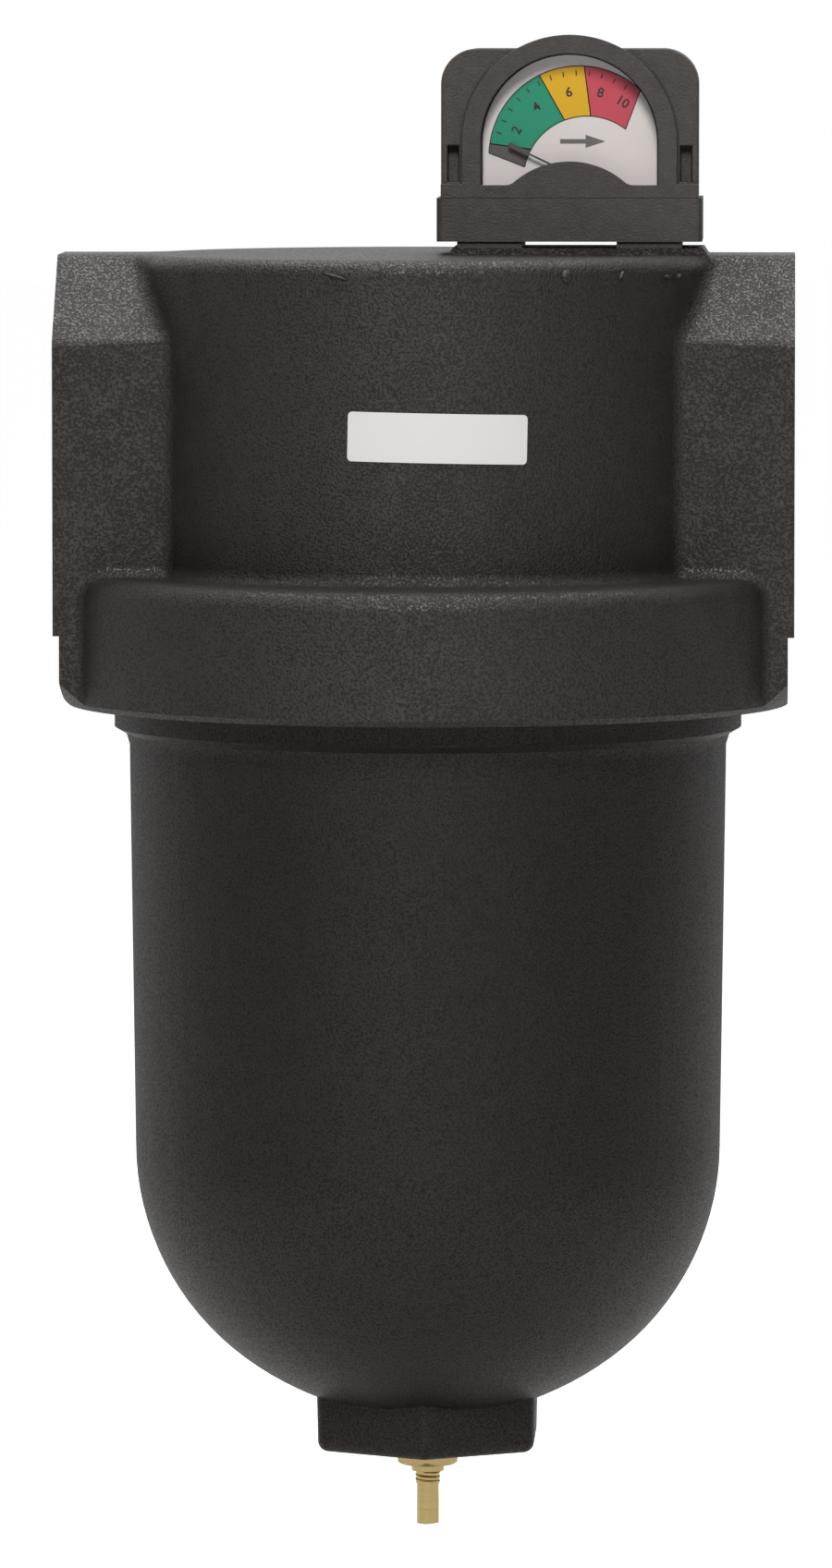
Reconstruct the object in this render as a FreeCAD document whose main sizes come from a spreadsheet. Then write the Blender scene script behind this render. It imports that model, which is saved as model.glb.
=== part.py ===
"""Compressed air filter with a screw-on bowl, a pleated element and a pressure gauge.

Millimetres, +Z up. The origin is the centre of the inlet port's face. The air comes in
along +X, turns down inside the element, passes out through its pleats into the bowl and
leaves at the outlet port. The front, where the dial is, faces -Y.
"""
import FreeCAD, Part
import Sketcher
import math
import os
import re

SIZES = [
    # head casting, heights counted from the port axis
    ("face_to_face", 165.0, "length of the head between its two port faces"),
    ("block_half", 32.5, "half depth of a port block, and its height above the axis"),
    ("block_flat_half", 13.5, "half width of the flat on top of a port block"),
    ("block_step_in", 1.4, "how far the lower port face steps in"),
    ("block_step_drop", 52.0, "where the lower port face steps in"),
    ("flange_lip", 17.5, "how far the flange stands out from the round neck"),
    ("neck_round", 3.5, "round on the neck's top edge"),
    ("seam_fillet", 4.0, "fillet where the neck meets the port blocks"),
    ("flange_drop", 39.2, "top of the flange"),
    ("flange_round", 4.5, "round on the flange's top edge"),
    ("flange_fillet", 3.0, "fillet from the neck to the flange"),
    ("head_drop", 68.6, "machined underside of the head"),
    ("rim_chamfer", 1.3, "machined chamfer round the underside"),
    ("pad_top", 34.05, "height of the gauge pad"),
    ("pad_before", 1.05, "gauge pad beyond the near foot"),
    ("pad_after", 4.85, "gauge pad beyond the far foot"),
    ("pad_half", 16.5, "half depth of the gauge pad"),
    ("pad_slope", 3.0, "run of the slope at each end of the pad"),
    # air passages in the head
    ("port_radius", 22.0, "bore of a 1 1/2 inch pipe thread"),
    ("port_depth", 25.0, "length of a port thread"),
    ("passage_radius", 20.0, "air passage behind each port"),
    ("tube_bore", 24.0, "inside of the tube that feeds the element"),
    ("tube_wall", 7.0, "wall of that tube"),
    ("tube_drop", 52.0, "lower end of that tube"),
    ("gallery_in", 12.7, "outside of the ring chamber inside the bowl's collar"),
    ("gallery_drop", 30.0, "ceiling of the ring chamber"),
    ("outlet_arc", 100.0, "angle of the ring chamber that rises to the outlet, degrees"),
    ("boss_radius", 8.0, "boss that the tie rod screws into"),
    ("boss_low", 6.0, "lower end of that boss, above the port axis"),
    # bowl
    ("head_wall", 11.8, "from the flange's edge to the bowl's threaded collar"),
    ("collar_height", 19.7, "how far the collar goes up into the head"),
    ("collar_below", 5.2, "how much of the collar shows below the head"),
    ("collar_step", 2.6, "how far the wall steps in below the collar"),
    ("collar_bevel", 1.5, "height of the bevel at that step"),
    ("collar_chamfer", 1.0, "chamfer on the collar's top edge"),
    ("thread_gap", 0.3, "clearance between the collar and the head"),
    ("collar_proud", 3.4, "how far the collar stands out from the wall below it"),
    ("bowl_draft", 1.2, "how much narrower the bowl is where the dome starts"),
    ("wall_start", 9.4, "depth below the head where the plain wall starts"),
    ("dome_lap", 21.3, "how far the element reaches below the start of the dome"),
    ("dome_share", 0.9242, "depth of the dome as a share of the bowl's radius"),
    ("crown_share", 1.04, "radius of the dome's crown as a share of the bowl's radius"),
    ("bowl_wall", 5.5, "wall of the bowl"),
    ("boss_flats", 48.7, "hexagon at the bottom, across flats"),
    ("boss_below", 6.7, "hexagon's lower face below the dome"),
    ("boss_flare", 0.7, "how much wider the hexagon is at its top, each side"),
    ("boss_corner", 3.0, "round on the hexagon's corners"),
    ("boss_edge", 2.4, "round on the hexagon's lower edge"),
    ("bowl_ring_drop", 4.4, "top of the bowl seal's groove below the collar's top"),
    ("bowl_ring_groove", 4.3, "width of the bowl seal's groove"),
    ("bowl_ring_deep", 3.2, "depth of that groove"),
    ("seal_slack", 0.05, "clearance that a moving seal or shaft runs with"),
    # filter element
    ("gasket_thick", 2.0, "flat gaskets above and below the element"),
    ("gasket_width", 5.5, "width of the upper gasket"),
    ("air_gap", 11.8, "from the bowl's wall to the element's end caps"),
    ("cap_thick", 3.0, "floor of an end cap"),
    ("cap_rim", 6.0, "depth of an end cap's rim"),
    ("cap_wall", 1.4, "thickness of an end cap's rim"),
    ("element_length", 130.0, "length between the end caps"),
    ("core_radius", 20.7, "outside of the inner cage"),
    ("cage_wall", 1.2, "wall of both cages"),
    ("cage_in", 4.0, "outer cage inside the edge of the end caps"),
    ("cage_columns", 10, "windows round a cage"),
    ("cage_rows", 6, "rows of windows in a cage"),
    ("cage_rib", 4.0, "bar between two rows of windows"),
    ("window_share", 0.7, "width of a cage window as a share of its column"),
    ("pleat_gap", 0.4, "clearance between the pleats and the cages"),
    ("pleat_count", 30, "pleats of the filter paper"),
    ("pleat_thick", 1.8, "half the thickness of a fold, measured along the radius"),
    ("sock_thick", 2.0, "foam sleeve that the drops run down"),
    ("sock_gap", 0.15, "clearance each side of the foam sleeve"),
    # tie rod
    ("rod_radius", 4.0, "tie rod"),
    ("rod_slack", 0.1, "clearance of the tie rod in its holes"),
    ("rod_grip", 10.0, "length of the tie rod in its boss"),
    ("lower_gasket_radius", 10.0, "lower gasket"),
    ("washer_radius", 11.0, "washer"),
    ("washer_thick", 1.6, "washer"),
    ("nut_flats", 13.0, "nut across flats"),
    ("nut_height", 6.5, "nut"),
    ("rod_proud", 3.0, "tie rod below the nut"),
    # drain
    ("drain_flats", 13.4, "hexagon of the drain body, across flats"),
    ("drain_flange", 4.4, "height of that hexagon"),
    ("drain_collar_radius", 3.7, "collar below it"),
    ("drain_collar", 1.6, "height of that collar"),
    ("drain_shank_radius", 5.8, "threaded shank in the bowl"),
    ("drain_shank", 12.0, "length of that shank"),
    ("drain_slack", 0.1, "clearance round that shank"),
    ("stem_radius", 2.95, "threaded part of the drain stem"),
    ("stem_thread", 2.9, "stem thread that shows"),
    ("stem_end_radius", 2.5, "plain end of the stem"),
    ("stem_end", 9.2, "length of the plain end"),
    ("stem_flat", 1.9, "half width across the flats of the plain end"),
    ("stem_bore", 1.0, "drain hole along the stem"),
    ("stem_top", 3.0, "solid tip of the stem above the cross hole"),
    ("stem_ring_bed", 1.95, "radius of the stem seal's groove"),
    ("stem_ring_groove", 1.3, "width of that groove"),
    ("stem_ring_down", 6.0, "groove below the top of the stem"),
    # gauge, placed from the bowl axis
    ("gauge_offset", 32.1, "gauge centre from the bowl axis"),
    ("base_width", 59.3, "gauge base"),
    ("gauge_half", 17.0, "half depth of the gauge"),
    ("base_top", 45.2, "top of the gauge base"),
    ("base_lift", 1.45, "air gap under the base between its feet"),
    ("base_corner", 1.5, "round on the base's upright corners"),
    ("foot_in", 11.85, "middle of a foot inside the end of the base"),
    ("foot_width", 14.5, "width of a foot"),
    ("foot_half", 16.0, "half depth of a foot"),
    ("sense_radius", 1.2, "pressure hole in each foot"),
    ("sense_forward", 5.0, "pressure holes and piston in front of the gauge centre"),
    ("foot_ring_radius", 3.2, "mean radius of the seal under a foot"),
    ("foot_ring_section", 0.9, "section radius of that seal"),
    ("screw_radius", 1.5, "gauge screws"),
    ("screw_side", 12.8, "gauge screws in front of and behind the gauge centre"),
    ("screw_head_radius", 2.7, "head of a gauge screw"),
    ("screw_head", 3.0, "height of that head"),
    ("screw_grip", 7.0, "thread of a gauge screw in the head casting"),
    ("screw_slack", 0.1, "clearance round a gauge screw"),
    ("housing_width", 57.4, "gauge housing"),
    ("housing_top", 78.5, "shoulders of the gauge housing"),
    ("housing_corner", 8.0, "round on the shoulders"),
    ("arch_centre", 57.6, "height of the arch's centre"),
    ("arch_radius", 24.0, "outside of the window frame"),
    ("arch_step", 0.4, "how much the housing's arch is smaller"),
    ("window_radius", 19.8, "window"),
    ("window_low", 48.1, "lower edge of the window"),
    ("frame_depth", 2.6, "thickness of the window frame"),
    ("frame_foot", 3.2, "height of the clip ledges beside the arch"),
    ("hump_radius", 18.9, "hump that hides the pivot"),
    ("hump_top", 53.4, "top of that hump"),
    ("hump_fillet", 3.0, "fillet at the hump's ends"),
    ("lens_thick", 1.2, "clear window"),
    ("lens_radius", 20.9, "arch of the clear window"),
    ("lens_slack", 0.1, "clearance round the clear window and the dial"),
    ("dial_depth", 7.0, "face of the dial behind the frame's face"),
    ("dial_thick", 0.8, "dial plate"),
    ("well_radius", 19.0, "hollow behind the dial"),
    ("well_depth", 14.0, "floor of that hollow behind the frame's face"),
    ("slot_offset", 26.0, "clip slots from the gauge centre"),
    ("slot_width", 2.6, "clip slot"),
    ("slot_low", 48.8, "lower end of a clip slot"),
    ("slot_high", 56.9, "upper end of a clip slot"),
    ("slot_depth", 4.0, "depth of a clip slot"),
    # gauge movement
    ("pivot_offset", 6.6, "pointer axle from the gauge centre"),
    ("pivot_lift", 0.3, "gap between the pointer's hub and the gauge base"),
    ("axle_radius", 0.6, "pointer axle"),
    ("axle_front", 4.0, "front end of the axle behind the frame's face"),
    ("axle_grip", 1.4, "rear end of the axle in the housing"),
    ("pointer_behind", 4.6, "front of the pointer behind the frame's face"),
    ("pointer_thick", 0.5, "pointer"),
    ("pointer_angle", 154.5, "pointer at rest, degrees up from +X"),
    ("pointer_length", 22.5, "pointer"),
    ("pointer_rod_half", 0.45, "half width of the pointer's rod"),
    ("pointer_blade", 9.0, "length of the pointer's broad tip"),
    ("pointer_blade_half", 1.0, "half width of that tip"),
    ("hub_radius", 2.0, "hub of the pointer"),
    ("hub_thick", 1.2, "hub of the pointer"),
    ("magnet_radius", 1.4, "magnet on the axle"),
    ("magnet_thick", 2.4, "magnet on the axle"),
    ("cylinder_height", 40.2, "piston axis"),
    ("cylinder_radius", 3.4, "bore of the piston"),
    ("cylinder_wall", 8.65, "closed end of that bore inside the end of the base"),
    ("inlet_room", 9.0, "space in front of the piston's pressure face"),
    ("piston_end", 6.2, "spring face of the piston, right of the gauge centre"),
    ("piston_nose", 1.2, "radius of the stop on the piston"),
    ("piston_rest", 0.3, "space in front of that stop at rest"),
    ("piston_pocket", 2.2, "radius of the pocket for the magnet"),
    ("slug_length", 4.0, "magnet in the piston"),
    ("slug_slack", 0.05, "clearance round that magnet"),
    ("slug_end", 0.6, "space behind that magnet"),
    ("travel", 6.0, "travel of the piston"),
    ("spring_radius", 2.75, "mean radius of the spring"),
    ("spring_wire", 0.5, "radius of the spring wire"),
    ("spring_gap", 0.1, "clearance at each end of the spring"),
    ("spring_turns", 6, "turns of the spring"),
    ("plug_length", 7.65, "end plug"),
    ("plug_slot", 1.0, "screwdriver slot of the plug"),
    ("plug_ring_bed", 2.3, "radius of the plug seal's groove"),
    ("plug_ring_groove", 1.3, "width of that groove"),
    ("plug_ring_at", 2.0, "groove from the inner end of the plug"),
]

doc = FreeCAD.newDocument("CompressedAirFilter")
dim = doc.addObject("Spreadsheet::Sheet", "Dim")
for row, (alias, number, note) in enumerate(SIZES, start=1):
    dim.set(f"A{row}", note)
    dim.set(f"B{row}", str(number))
    dim.setAlias(f"B{row}", alias)
doc.recompute()

ALIASES = {alias for alias, number, note in SIZES}
# sizes that follow from others, so that neighbouring pieces keep their clearances
FOLLOWS = {
    "flange_radius": "face_to_face / 2",
    "neck_radius": "flange_radius - flange_lip",
    "collar_radius": "flange_radius - head_wall",
    "gallery_radius": "collar_radius - gallery_in",
    "bowl_radius": "collar_radius - collar_proud",
    "bowl_ring_bed": "collar_radius - bowl_ring_deep",
    "dome_depth": "bowl_radius * dome_share",
    "crown_radius": "bowl_radius * crown_share",
    "element_low": "tube_drop + gasket_thick + 2 * cap_thick + element_length",
    "bowl_length": "element_low - dome_lap - head_drop",
    "boss_drop": "bowl_length + dome_depth + boss_below",
    "cap_radius": "bowl_radius - bowl_wall - air_gap",
    "cage_radius": "cap_radius - cage_in",
    "foot_offset": "base_width / 2 - foot_in",
    "pad_start": "gauge_offset - foot_offset - foot_width / 2 - pad_before",
    "pad_end": "gauge_offset + foot_offset + foot_width / 2 + pad_after",
    "cylinder_start": "base_width / 2 - cylinder_wall",
    "piston_start": "cylinder_start - inlet_room",
    "plug_start": "base_width / 2 - plug_length",
    "pivot_height": "base_top + hub_radius + pivot_lift",
}
AXIS = "face_to_face / 2"
GAUGE = f"{AXIS} + gauge_offset"
pieces = []


def bound(text):
    """Turn a formula over named sizes into an expression over the sheet."""
    def meaning(word):
        if word[0] in FOLLOWS:
            return f"({bound(FOLLOWS[word[0]])})"
        return f"Dim.{word[0]}" if word[0] in ALIASES else word[0]

    return re.sub("[a-z_]+", meaning, text)


def number(text):
    """What a formula over the sheet comes to now."""
    return float(dim.evalExpression(bound(text)))


def bind(thing, **formulas):
    """Tie properties to formulas. A double underscore stands for a dot."""
    for name, text in formulas.items():
        thing.setExpression(name.replace("__", "."), bound(text))


def place(thing, x="0", y="0", z="0"):
    bind(thing, Placement__Base__x=x, Placement__Base__y=y, Placement__Base__z=z)


def piece(thing, node):
    """Name a finished piece."""
    thing.Label = node
    pieces.append(thing)
    return thing


def box(name, length, width, height, x, y, z):
    """A block with its low corner at x, y, z."""
    block = doc.addObject("Part::Box", name)
    bind(block, Length=length, Width=width, Height=height)
    place(block, x, y, z)
    return block


def rod(name, radius, length, x, y, z, along="z"):
    """A round bar that starts at x, y, z and runs along +X, +Y or +Z."""
    bar = doc.addObject("Part::Cylinder", name)
    turns = {"x": ((0, 1, 0), 90), "y": ((1, 0, 0), -90), "z": ((0, 0, 1), 0)}
    axis, angle = turns[along]
    bar.Placement.Rotation = FreeCAD.Rotation(FreeCAD.Vector(*axis), angle)
    bind(bar, Radius=radius, Height=length)
    place(bar, x, y, z)
    return bar


def hexagon(name, flats, height, x, y, z):
    """A hexagonal bar, with flats to +X and -X."""
    bar = doc.addObject("Part::Prism", name)
    bar.Polygon = 6
    bar.Placement.Rotation = FreeCAD.Rotation(FreeCAD.Vector(0, 0, 1), 30)
    bind(bar, Circumradius=f"({flats}) / sqrt(3)", Height=height)
    place(bar, x, y, z)
    return bar


def fuse(name, *things):
    joined = doc.addObject("Part::MultiFuse", name)
    joined.Shapes = list(things)
    joined.Refine = True
    return joined


def cut(name, base, *tools):
    made = doc.addObject("Part::Cut", name)
    made.Base = base
    made.Tool = tools[0] if len(tools) == 1 else fuse(name + "_tools", *tools)
    made.Refine = True
    return made


def common(name, first, second):
    made = doc.addObject("Part::Common", name)
    made.Base = first
    made.Tool = second
    return made


def start_body(name, x="0", y="0", z="0"):
    body = doc.addObject("PartDesign::Body", name)
    place(body, x, y, z)
    return body


def sketch_on(body, plane, name, forward="0"):
    """A sketch on one of the body's own planes, moved along that plane's normal."""
    sketch = body.newObject("Sketcher::SketchObject", name)
    origin = [item for item in body.Origin.OriginFeatures if item.Role == plane][0]
    sketch.AttachmentSupport = (origin, [""])
    sketch.MapMode = "FlatFace"
    bind(sketch, AttachmentOffset__Base__z=forward)
    return sketch


def fix_point(sketch, geometry, end, across, up):
    """Hold one point of a sketch at a place given by two formulas."""
    for kind, text in (("DistanceX", across), ("DistanceY", up)):
        if text is None:
            continue
        if number(text) == 0:
            other_axis = -2 if kind == "DistanceX" else -1
            sketch.addConstraint(Sketcher.Constraint("PointOnObject", geometry, end, other_axis))
            continue
        at = sketch.addConstraint(Sketcher.Constraint(kind, -1, 1, geometry, end, number(text)))
        sketch.setExpression(f"Constraints[{at}]", bound(text))


def outline(sketch, *corners):
    """Draw a closed outline through corners given as formulas.

    A corner is (across, up). A corner (across, up, centre across, centre up, way) starts
    an arc to the next corner, which runs anticlockwise where way is 1 and clockwise
    where it is -1.
    """
    spots = [FreeCAD.Vector(number(c[0]), number(c[1]), 0) for c in corners]
    ends = []
    for i, corner in enumerate(corners):
        here, there = spots[i], spots[(i + 1) % len(spots)]
        if len(corner) == 2:
            made = sketch.addGeometry(Part.LineSegment(here, there))
            ends.append((made, 1, 2))
            continue
        centre = FreeCAD.Vector(number(corner[2]), number(corner[3]), 0)
        first, last = (here, there) if corner[4] > 0 else (there, here)
        start = math.atan2(first.y - centre.y, first.x - centre.x)
        stop = math.atan2(last.y - centre.y, last.x - centre.x)
        if stop <= start:
            stop += 2 * math.pi
        ring = Part.Circle(centre, FreeCAD.Vector(0, 0, 1), (first - centre).Length)
        made = sketch.addGeometry(Part.ArcOfCircle(ring, start, stop))
        ends.append((made, 1, 2) if corner[4] > 0 else (made, 2, 1))
    for i, (made, begin, finish) in enumerate(ends):
        after, after_begin, after_finish = ends[(i + 1) % len(ends)]
        sketch.addConstraint(Sketcher.Constraint("Coincident", made, finish, after, after_begin))
    for i, corner in enumerate(corners):
        made, begin, finish = ends[i]
        fix_point(sketch, made, begin, corner[0], corner[1])
        if len(corner) > 2:
            chord = spots[(i + 1) % len(spots)] - spots[i]
            if abs(chord.x) >= abs(chord.y):
                fix_point(sketch, made, 3, None, corner[3])
            else:
                fix_point(sketch, made, 3, corner[2], None)


def turned(name, *corners, x=AXIS, y="0", z="0", about="V_Axis"):
    """A body of revolution from its half section in the XZ plane."""
    body = start_body(name, x, y, z)
    sketch = sketch_on(body, "XZ_Plane", name + "_section")
    outline(sketch, *corners)
    solid = body.newObject("PartDesign::Revolution", name + "_turn")
    solid.Profile = sketch
    solid.ReferenceAxis = (sketch, [about])
    solid.Angle = 360
    return body


def plate(name, front, thick, *corners, x=GAUGE, z="0"):
    """A plate of the gauge: its front is that far in front of the gauge's centre."""
    body = start_body(name, x, "0", z)
    sketch = sketch_on(body, "XZ_Plane", name + "_outline", front)
    outline(sketch, *corners)
    solid = body.newObject("PartDesign::Pad", name + "_pad")
    solid.Profile = sketch
    solid.Reversed = True
    bind(solid, Length=thick)
    return body


def ring(name, mean, section, x, y, z, along="z"):
    """A round seal about an axis through x, y, z."""
    seal = doc.addObject("Part::Torus", name)
    if along == "x":
        seal.Placement.Rotation = FreeCAD.Rotation(FreeCAD.Vector(0, 1, 0), 90)
    bind(seal, Radius1=mean, Radius2=section)
    place(seal, x, y, z)
    return seal


def arch(radius, low, centre="arch_centre"):
    """Corners of a window with a flat foot and a round top."""
    return (
        (f"0 - ({radius})", low),
        (radius, low),
        (radius, centre, "0", centre, 1),
        (f"0 - ({radius})", centre),
   )


def edges_where(shape, test):
    """Numbers of the edges whose middle point passes the test."""
    found = []
    for i, edge in enumerate(shape.Edges, start=1):
        middle = edge.valueAt((edge.FirstParameter + edge.LastParameter) / 2)
        if test(edge, middle):
            found.append(i)
    return found


def rounded(name, base, radius, test):
    """Round the edges of a shape that pass a test."""
    doc.recompute()
    size = number(radius)
    made = doc.addObject("Part::Fillet", name)
    made.Base = base
    made.Edges = [(i, size, size) for i in edges_where(base.Shape, test)]
    return made


def dome(radius, depth, crown, level):
    """Corners of a dome that starts at the wall and ends on the axis, going down.

    The knuckle's radius follows from the crown's, so that both arcs meet without a kink.
    """
    knuckle = (
        f"(({radius}) ^ 2 + ({depth}) ^ 2 - 2 * ({depth}) * ({crown}))"
        f" / (2 * (({radius}) - ({crown})))"
   )
    knuckle_at = f"({radius}) - {knuckle}"
    crown_at = f"({level}) - ({depth}) + ({crown})"
    share = f"({crown}) / (({crown}) - {knuckle})"
    meet_across = f"({knuckle_at}) * {share}"
    meet_up = f"{crown_at} + (({level}) - ({crown_at})) * {share}"
    return (
        (radius, level, knuckle_at, level, -1),
        (meet_across, meet_up, "0", crown_at, -1),
        ("0", f"({level}) - ({depth})"),
   )


# levels that several pieces share
HEAD_LOW = "0 - head_drop"
COLLAR_TOP = "collar_height - head_drop"
RECESS_TOP = "collar_height + thread_gap - head_drop"
TUBE_RADIUS = "(tube_bore + tube_wall)"
CAP_TOP = "(0 - tube_drop - gasket_thick)"
MEDIA_TOP = "(0 - tube_drop - gasket_thick - cap_thick)"
MEDIA_LOW = "(0 - tube_drop - gasket_thick - cap_thick - element_length)"
CAP_LOW = "(0 - element_low)"
WASHER_TOP = f"({CAP_LOW} - gasket_thick)"
NUT_TOP = f"({WASHER_TOP} - washer_thick)"
NUT_LOW = f"({NUT_TOP} - nut_height)"
BOSS_LOW = "(0 - head_drop - boss_drop)"
DOME_LEVEL = "(0 - head_drop - bowl_length)"
BASE_LOW = "pad_top + base_lift"


def make_head():
    """The casting: two port blocks, the neck, the flange, the gauge pad and the passages."""
    blocks = start_body("port_blocks")
    sketch = sketch_on(blocks, "YZ_Plane", "block_outline")
    outline(
        sketch,
        ("0 - block_half", HEAD_LOW),
        ("block_half", HEAD_LOW),
        ("block_half", "block_flat_half"),
        ("block_flat_half", "block_half"),
        ("0 - block_flat_half", "block_half"),
        ("0 - block_half", "block_flat_half"),
   )
    bar = blocks.newObject("PartDesign::Pad", "block_bar")
    bar.Profile = sketch
    bind(bar, Length="face_to_face")

    neck = rod("neck", "neck_radius", "head_drop + block_half", AXIS, "0", HEAD_LOW)
    joined = rounded("seams", fuse("blocks_and_neck", blocks, neck), "seam_fillet", is_seam)
    domed = rounded("neck_edge", joined, "neck_round", is_neck_edge)
    flange = turned(
        "flange",
        ("0", HEAD_LOW),
        ("flange_radius", HEAD_LOW),
        ("flange_radius", "0 - flange_drop - flange_round",
         "flange_radius - flange_round", "0 - flange_drop - flange_round", 1),
        ("flange_radius - flange_round", "0 - flange_drop"),
        ("0", "0 - flange_drop"),
    )
    casting = rounded("casting", fuse("neck_and_flange", domed, flange), "flange_fillet",
                      is_flange_foot)

    step_low = "0 - head_drop - 1"
    step_tall = "head_drop + 1 - block_step_drop"
    stepped = cut(
        "stepped_casting", casting,
        box("inlet_step", "block_step_in", "2 * block_half + 2", step_tall,
            "0", "0 - block_half - 1", step_low),
        box("outlet_step", "block_step_in", "2 * block_half + 2", step_tall,
            "face_to_face - block_step_in", "0 - block_half - 1", step_low),
    )
    rim = "flange_radius - rim_chamfer"
    reach = "face_to_face"
    envelope = turned(
        "rim_cone",
        ("0", HEAD_LOW),
        (rim, HEAD_LOW),
        (reach, f"{reach} - ({rim}) - head_drop"),
        (reach, "face_to_face"),
        ("0", "face_to_face"),
    )
    trimmed = common("trimmed_casting", stepped, envelope)
    pad = start_body("gauge_pad", AXIS)
    pad_sketch = sketch_on(pad, "XZ_Plane", "pad_outline")
    outline(
        pad_sketch,
        ("pad_start - pad_slope", "block_half - pad_slope"),
        ("pad_end + pad_slope", "block_half - pad_slope"),
        ("pad_end", "pad_top"),
        ("pad_start", "pad_top"),
   )
    pad_block = pad.newObject("PartDesign::Pad", "pad_block")
    pad_block.Profile = pad_sketch
    pad_block.Midplane = True
    bind(pad_block, Length="2 * pad_half")

    padded = fuse("casting_with_pad", trimmed, pad)

    cavity = turned(
        "underside_cavity",
        ("0", "0 - head_drop - 1"),
        ("collar_radius + thread_gap", "0 - head_drop - 1"),
        ("collar_radius + thread_gap", RECESS_TOP),
        ("gallery_radius", RECESS_TOP),
        ("gallery_radius", "0 - gallery_drop"),
        (TUBE_RADIUS, "0 - gallery_drop"),
        (TUBE_RADIUS, "0 - tube_drop"),
        ("tube_bore", "0 - tube_drop"),
        ("tube_bore", "passage_radius"),
        ("boss_radius", "passage_radius"),
        ("boss_radius", "boss_low"),
        ("0", "boss_low"),
   )
    riser = start_body("outlet_riser", AXIS)
    riser_sketch = sketch_on(riser, "XZ_Plane", "riser_section")
    outline(
        riser_sketch,
        (TUBE_RADIUS, "0 - gallery_drop - 1"),
        ("gallery_radius", "0 - gallery_drop - 1"),
        ("gallery_radius", "passage_radius"),
        (TUBE_RADIUS, "passage_radius"),
   )
    riser_turn = riser.newObject("PartDesign::Revolution", "riser_turn")
    riser_turn.Profile = riser_sketch
    riser_turn.ReferenceAxis = (riser_sketch, ["V_Axis"])
    riser_turn.Midplane = True
    bind(riser_turn, Angle="outlet_arc")

    riser_middle = f"{AXIS} + ({TUBE_RADIUS} + gallery_radius) / 2"
    feet = ["gauge_offset - foot_offset", "gauge_offset + foot_offset"]
    holes = [
        rod("inlet_bore", "port_radius", "port_depth", "0", "0", "0", "x"),
        rod("outlet_bore", "port_radius", "port_depth", "face_to_face - port_depth",
            "0", "0", "x"),
        rod("inlet_passage", "passage_radius", f"{AXIS} - (tube_bore + boss_radius) / 2",
            "0", "0", "0", "x"),
        rod("outlet_passage", "passage_radius", f"face_to_face - ({riser_middle})",
            riser_middle, "0", "0", "x"),
        rod("rod_hole", "rod_radius + rod_slack", "rod_grip + 1", AXIS, "0", "boss_low - 1"),
        cavity,
        riser,
    ]
    for side, foot in zip(("inlet", "outlet"), feet):
        holes.append(rod(f"{side}_sense_hole", "sense_radius",
                         "pad_top + 1 - passage_radius / 2", f"{AXIS} + {foot}",
                         "0 - sense_forward", "passage_radius / 2"))
        for row, sign in (("front", "0 -"), ("rear", "0 +")):
            holes.append(rod(f"{side}_{row}_tapped_hole", "screw_radius + screw_slack",
                             "screw_grip + 2", f"{AXIS} + {foot}", f"{sign} screw_side",
                             "pad_top - screw_grip - 1"))
    return piece(cut("head_casting", padded, *holes), "head_casting")


def from_axis(point):
    return math.hypot(point.x - number(AXIS), point.y)


def is_seam(edge, middle):
    """An edge where a port block's upright or sloped side meets the neck."""
    on_neck = abs(from_axis(middle) - number("neck_radius")) < 0.01
    side = abs(middle.y)
    on_block = number("block_flat_half") < side < number("block_half") + 0.01
    return on_neck and on_block and number(HEAD_LOW) < middle.z < number("block_half") - 0.5


def is_neck_edge(edge, middle):
    """The neck's top edge between the two port blocks."""
    on_neck = abs(from_axis(middle) - number("neck_radius")) < 0.01
    on_top = abs(middle.z - number("block_half")) < 0.01
    return on_neck and on_top and edge.Length > number("neck_radius")


def is_flange_foot(edge, middle):
    """An edge where the flange's upper face meets the neck or a port block."""
    on_flange_top = abs(middle.z + number("flange_drop")) < 0.01
    return on_flange_top and from_axis(middle) < number("flange_radius - flange_round") - 0.5


def make_bowl():
    """The bowl: a threaded collar, a slightly tapered wall, a dome and a hexagon below."""
    foot = "bowl_radius - bowl_draft"
    inner = f"{foot} - bowl_wall"
    groove_top = "collar_height - head_drop - bowl_ring_drop"
    groove_low = "collar_height - head_drop - bowl_ring_drop - bowl_ring_groove"
    outside = turned(
        "bowl_outside",
        ("0", COLLAR_TOP),
        ("collar_radius - collar_chamfer", COLLAR_TOP),
        ("collar_radius", "collar_height - head_drop - collar_chamfer"),
        ("collar_radius", groove_top),
        ("bowl_ring_bed", groove_top),
        ("bowl_ring_bed", groove_low),
        ("collar_radius", groove_low),
        ("collar_radius", "0 - head_drop - collar_below"),
        ("collar_radius - collar_step", "0 - head_drop - collar_below - collar_bevel"),
        ("bowl_radius", "0 - head_drop - wall_start"),
        *dome(foot, "dome_depth", "crown_radius", DOME_LEVEL),
   )
    doc.recompute()
    boss = doc.addObject("Part::Feature", "bowl_boss")
    boss.Shape = tapered_boss()
    inside = turned(
        "bowl_inside",
        ("0", "collar_height - head_drop + 1"),
        ("bowl_radius - bowl_wall", "collar_height - head_drop + 1"),
        ("bowl_radius - bowl_wall", "0 - head_drop - wall_start"),
        *dome(inner, "dome_depth - bowl_wall", "crown_radius - bowl_wall", DOME_LEVEL),
   )
    drain_hole = rod("drain_hole", "drain_shank_radius + drain_slack", "drain_shank + boss_below",
                     AXIS, "0", f"{BOSS_LOW} - 1")
    solid = fuse("bowl_solid", outside, boss)
    return piece(cut("bowl", solid, inside, drain_hole), "bowl")


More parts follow.
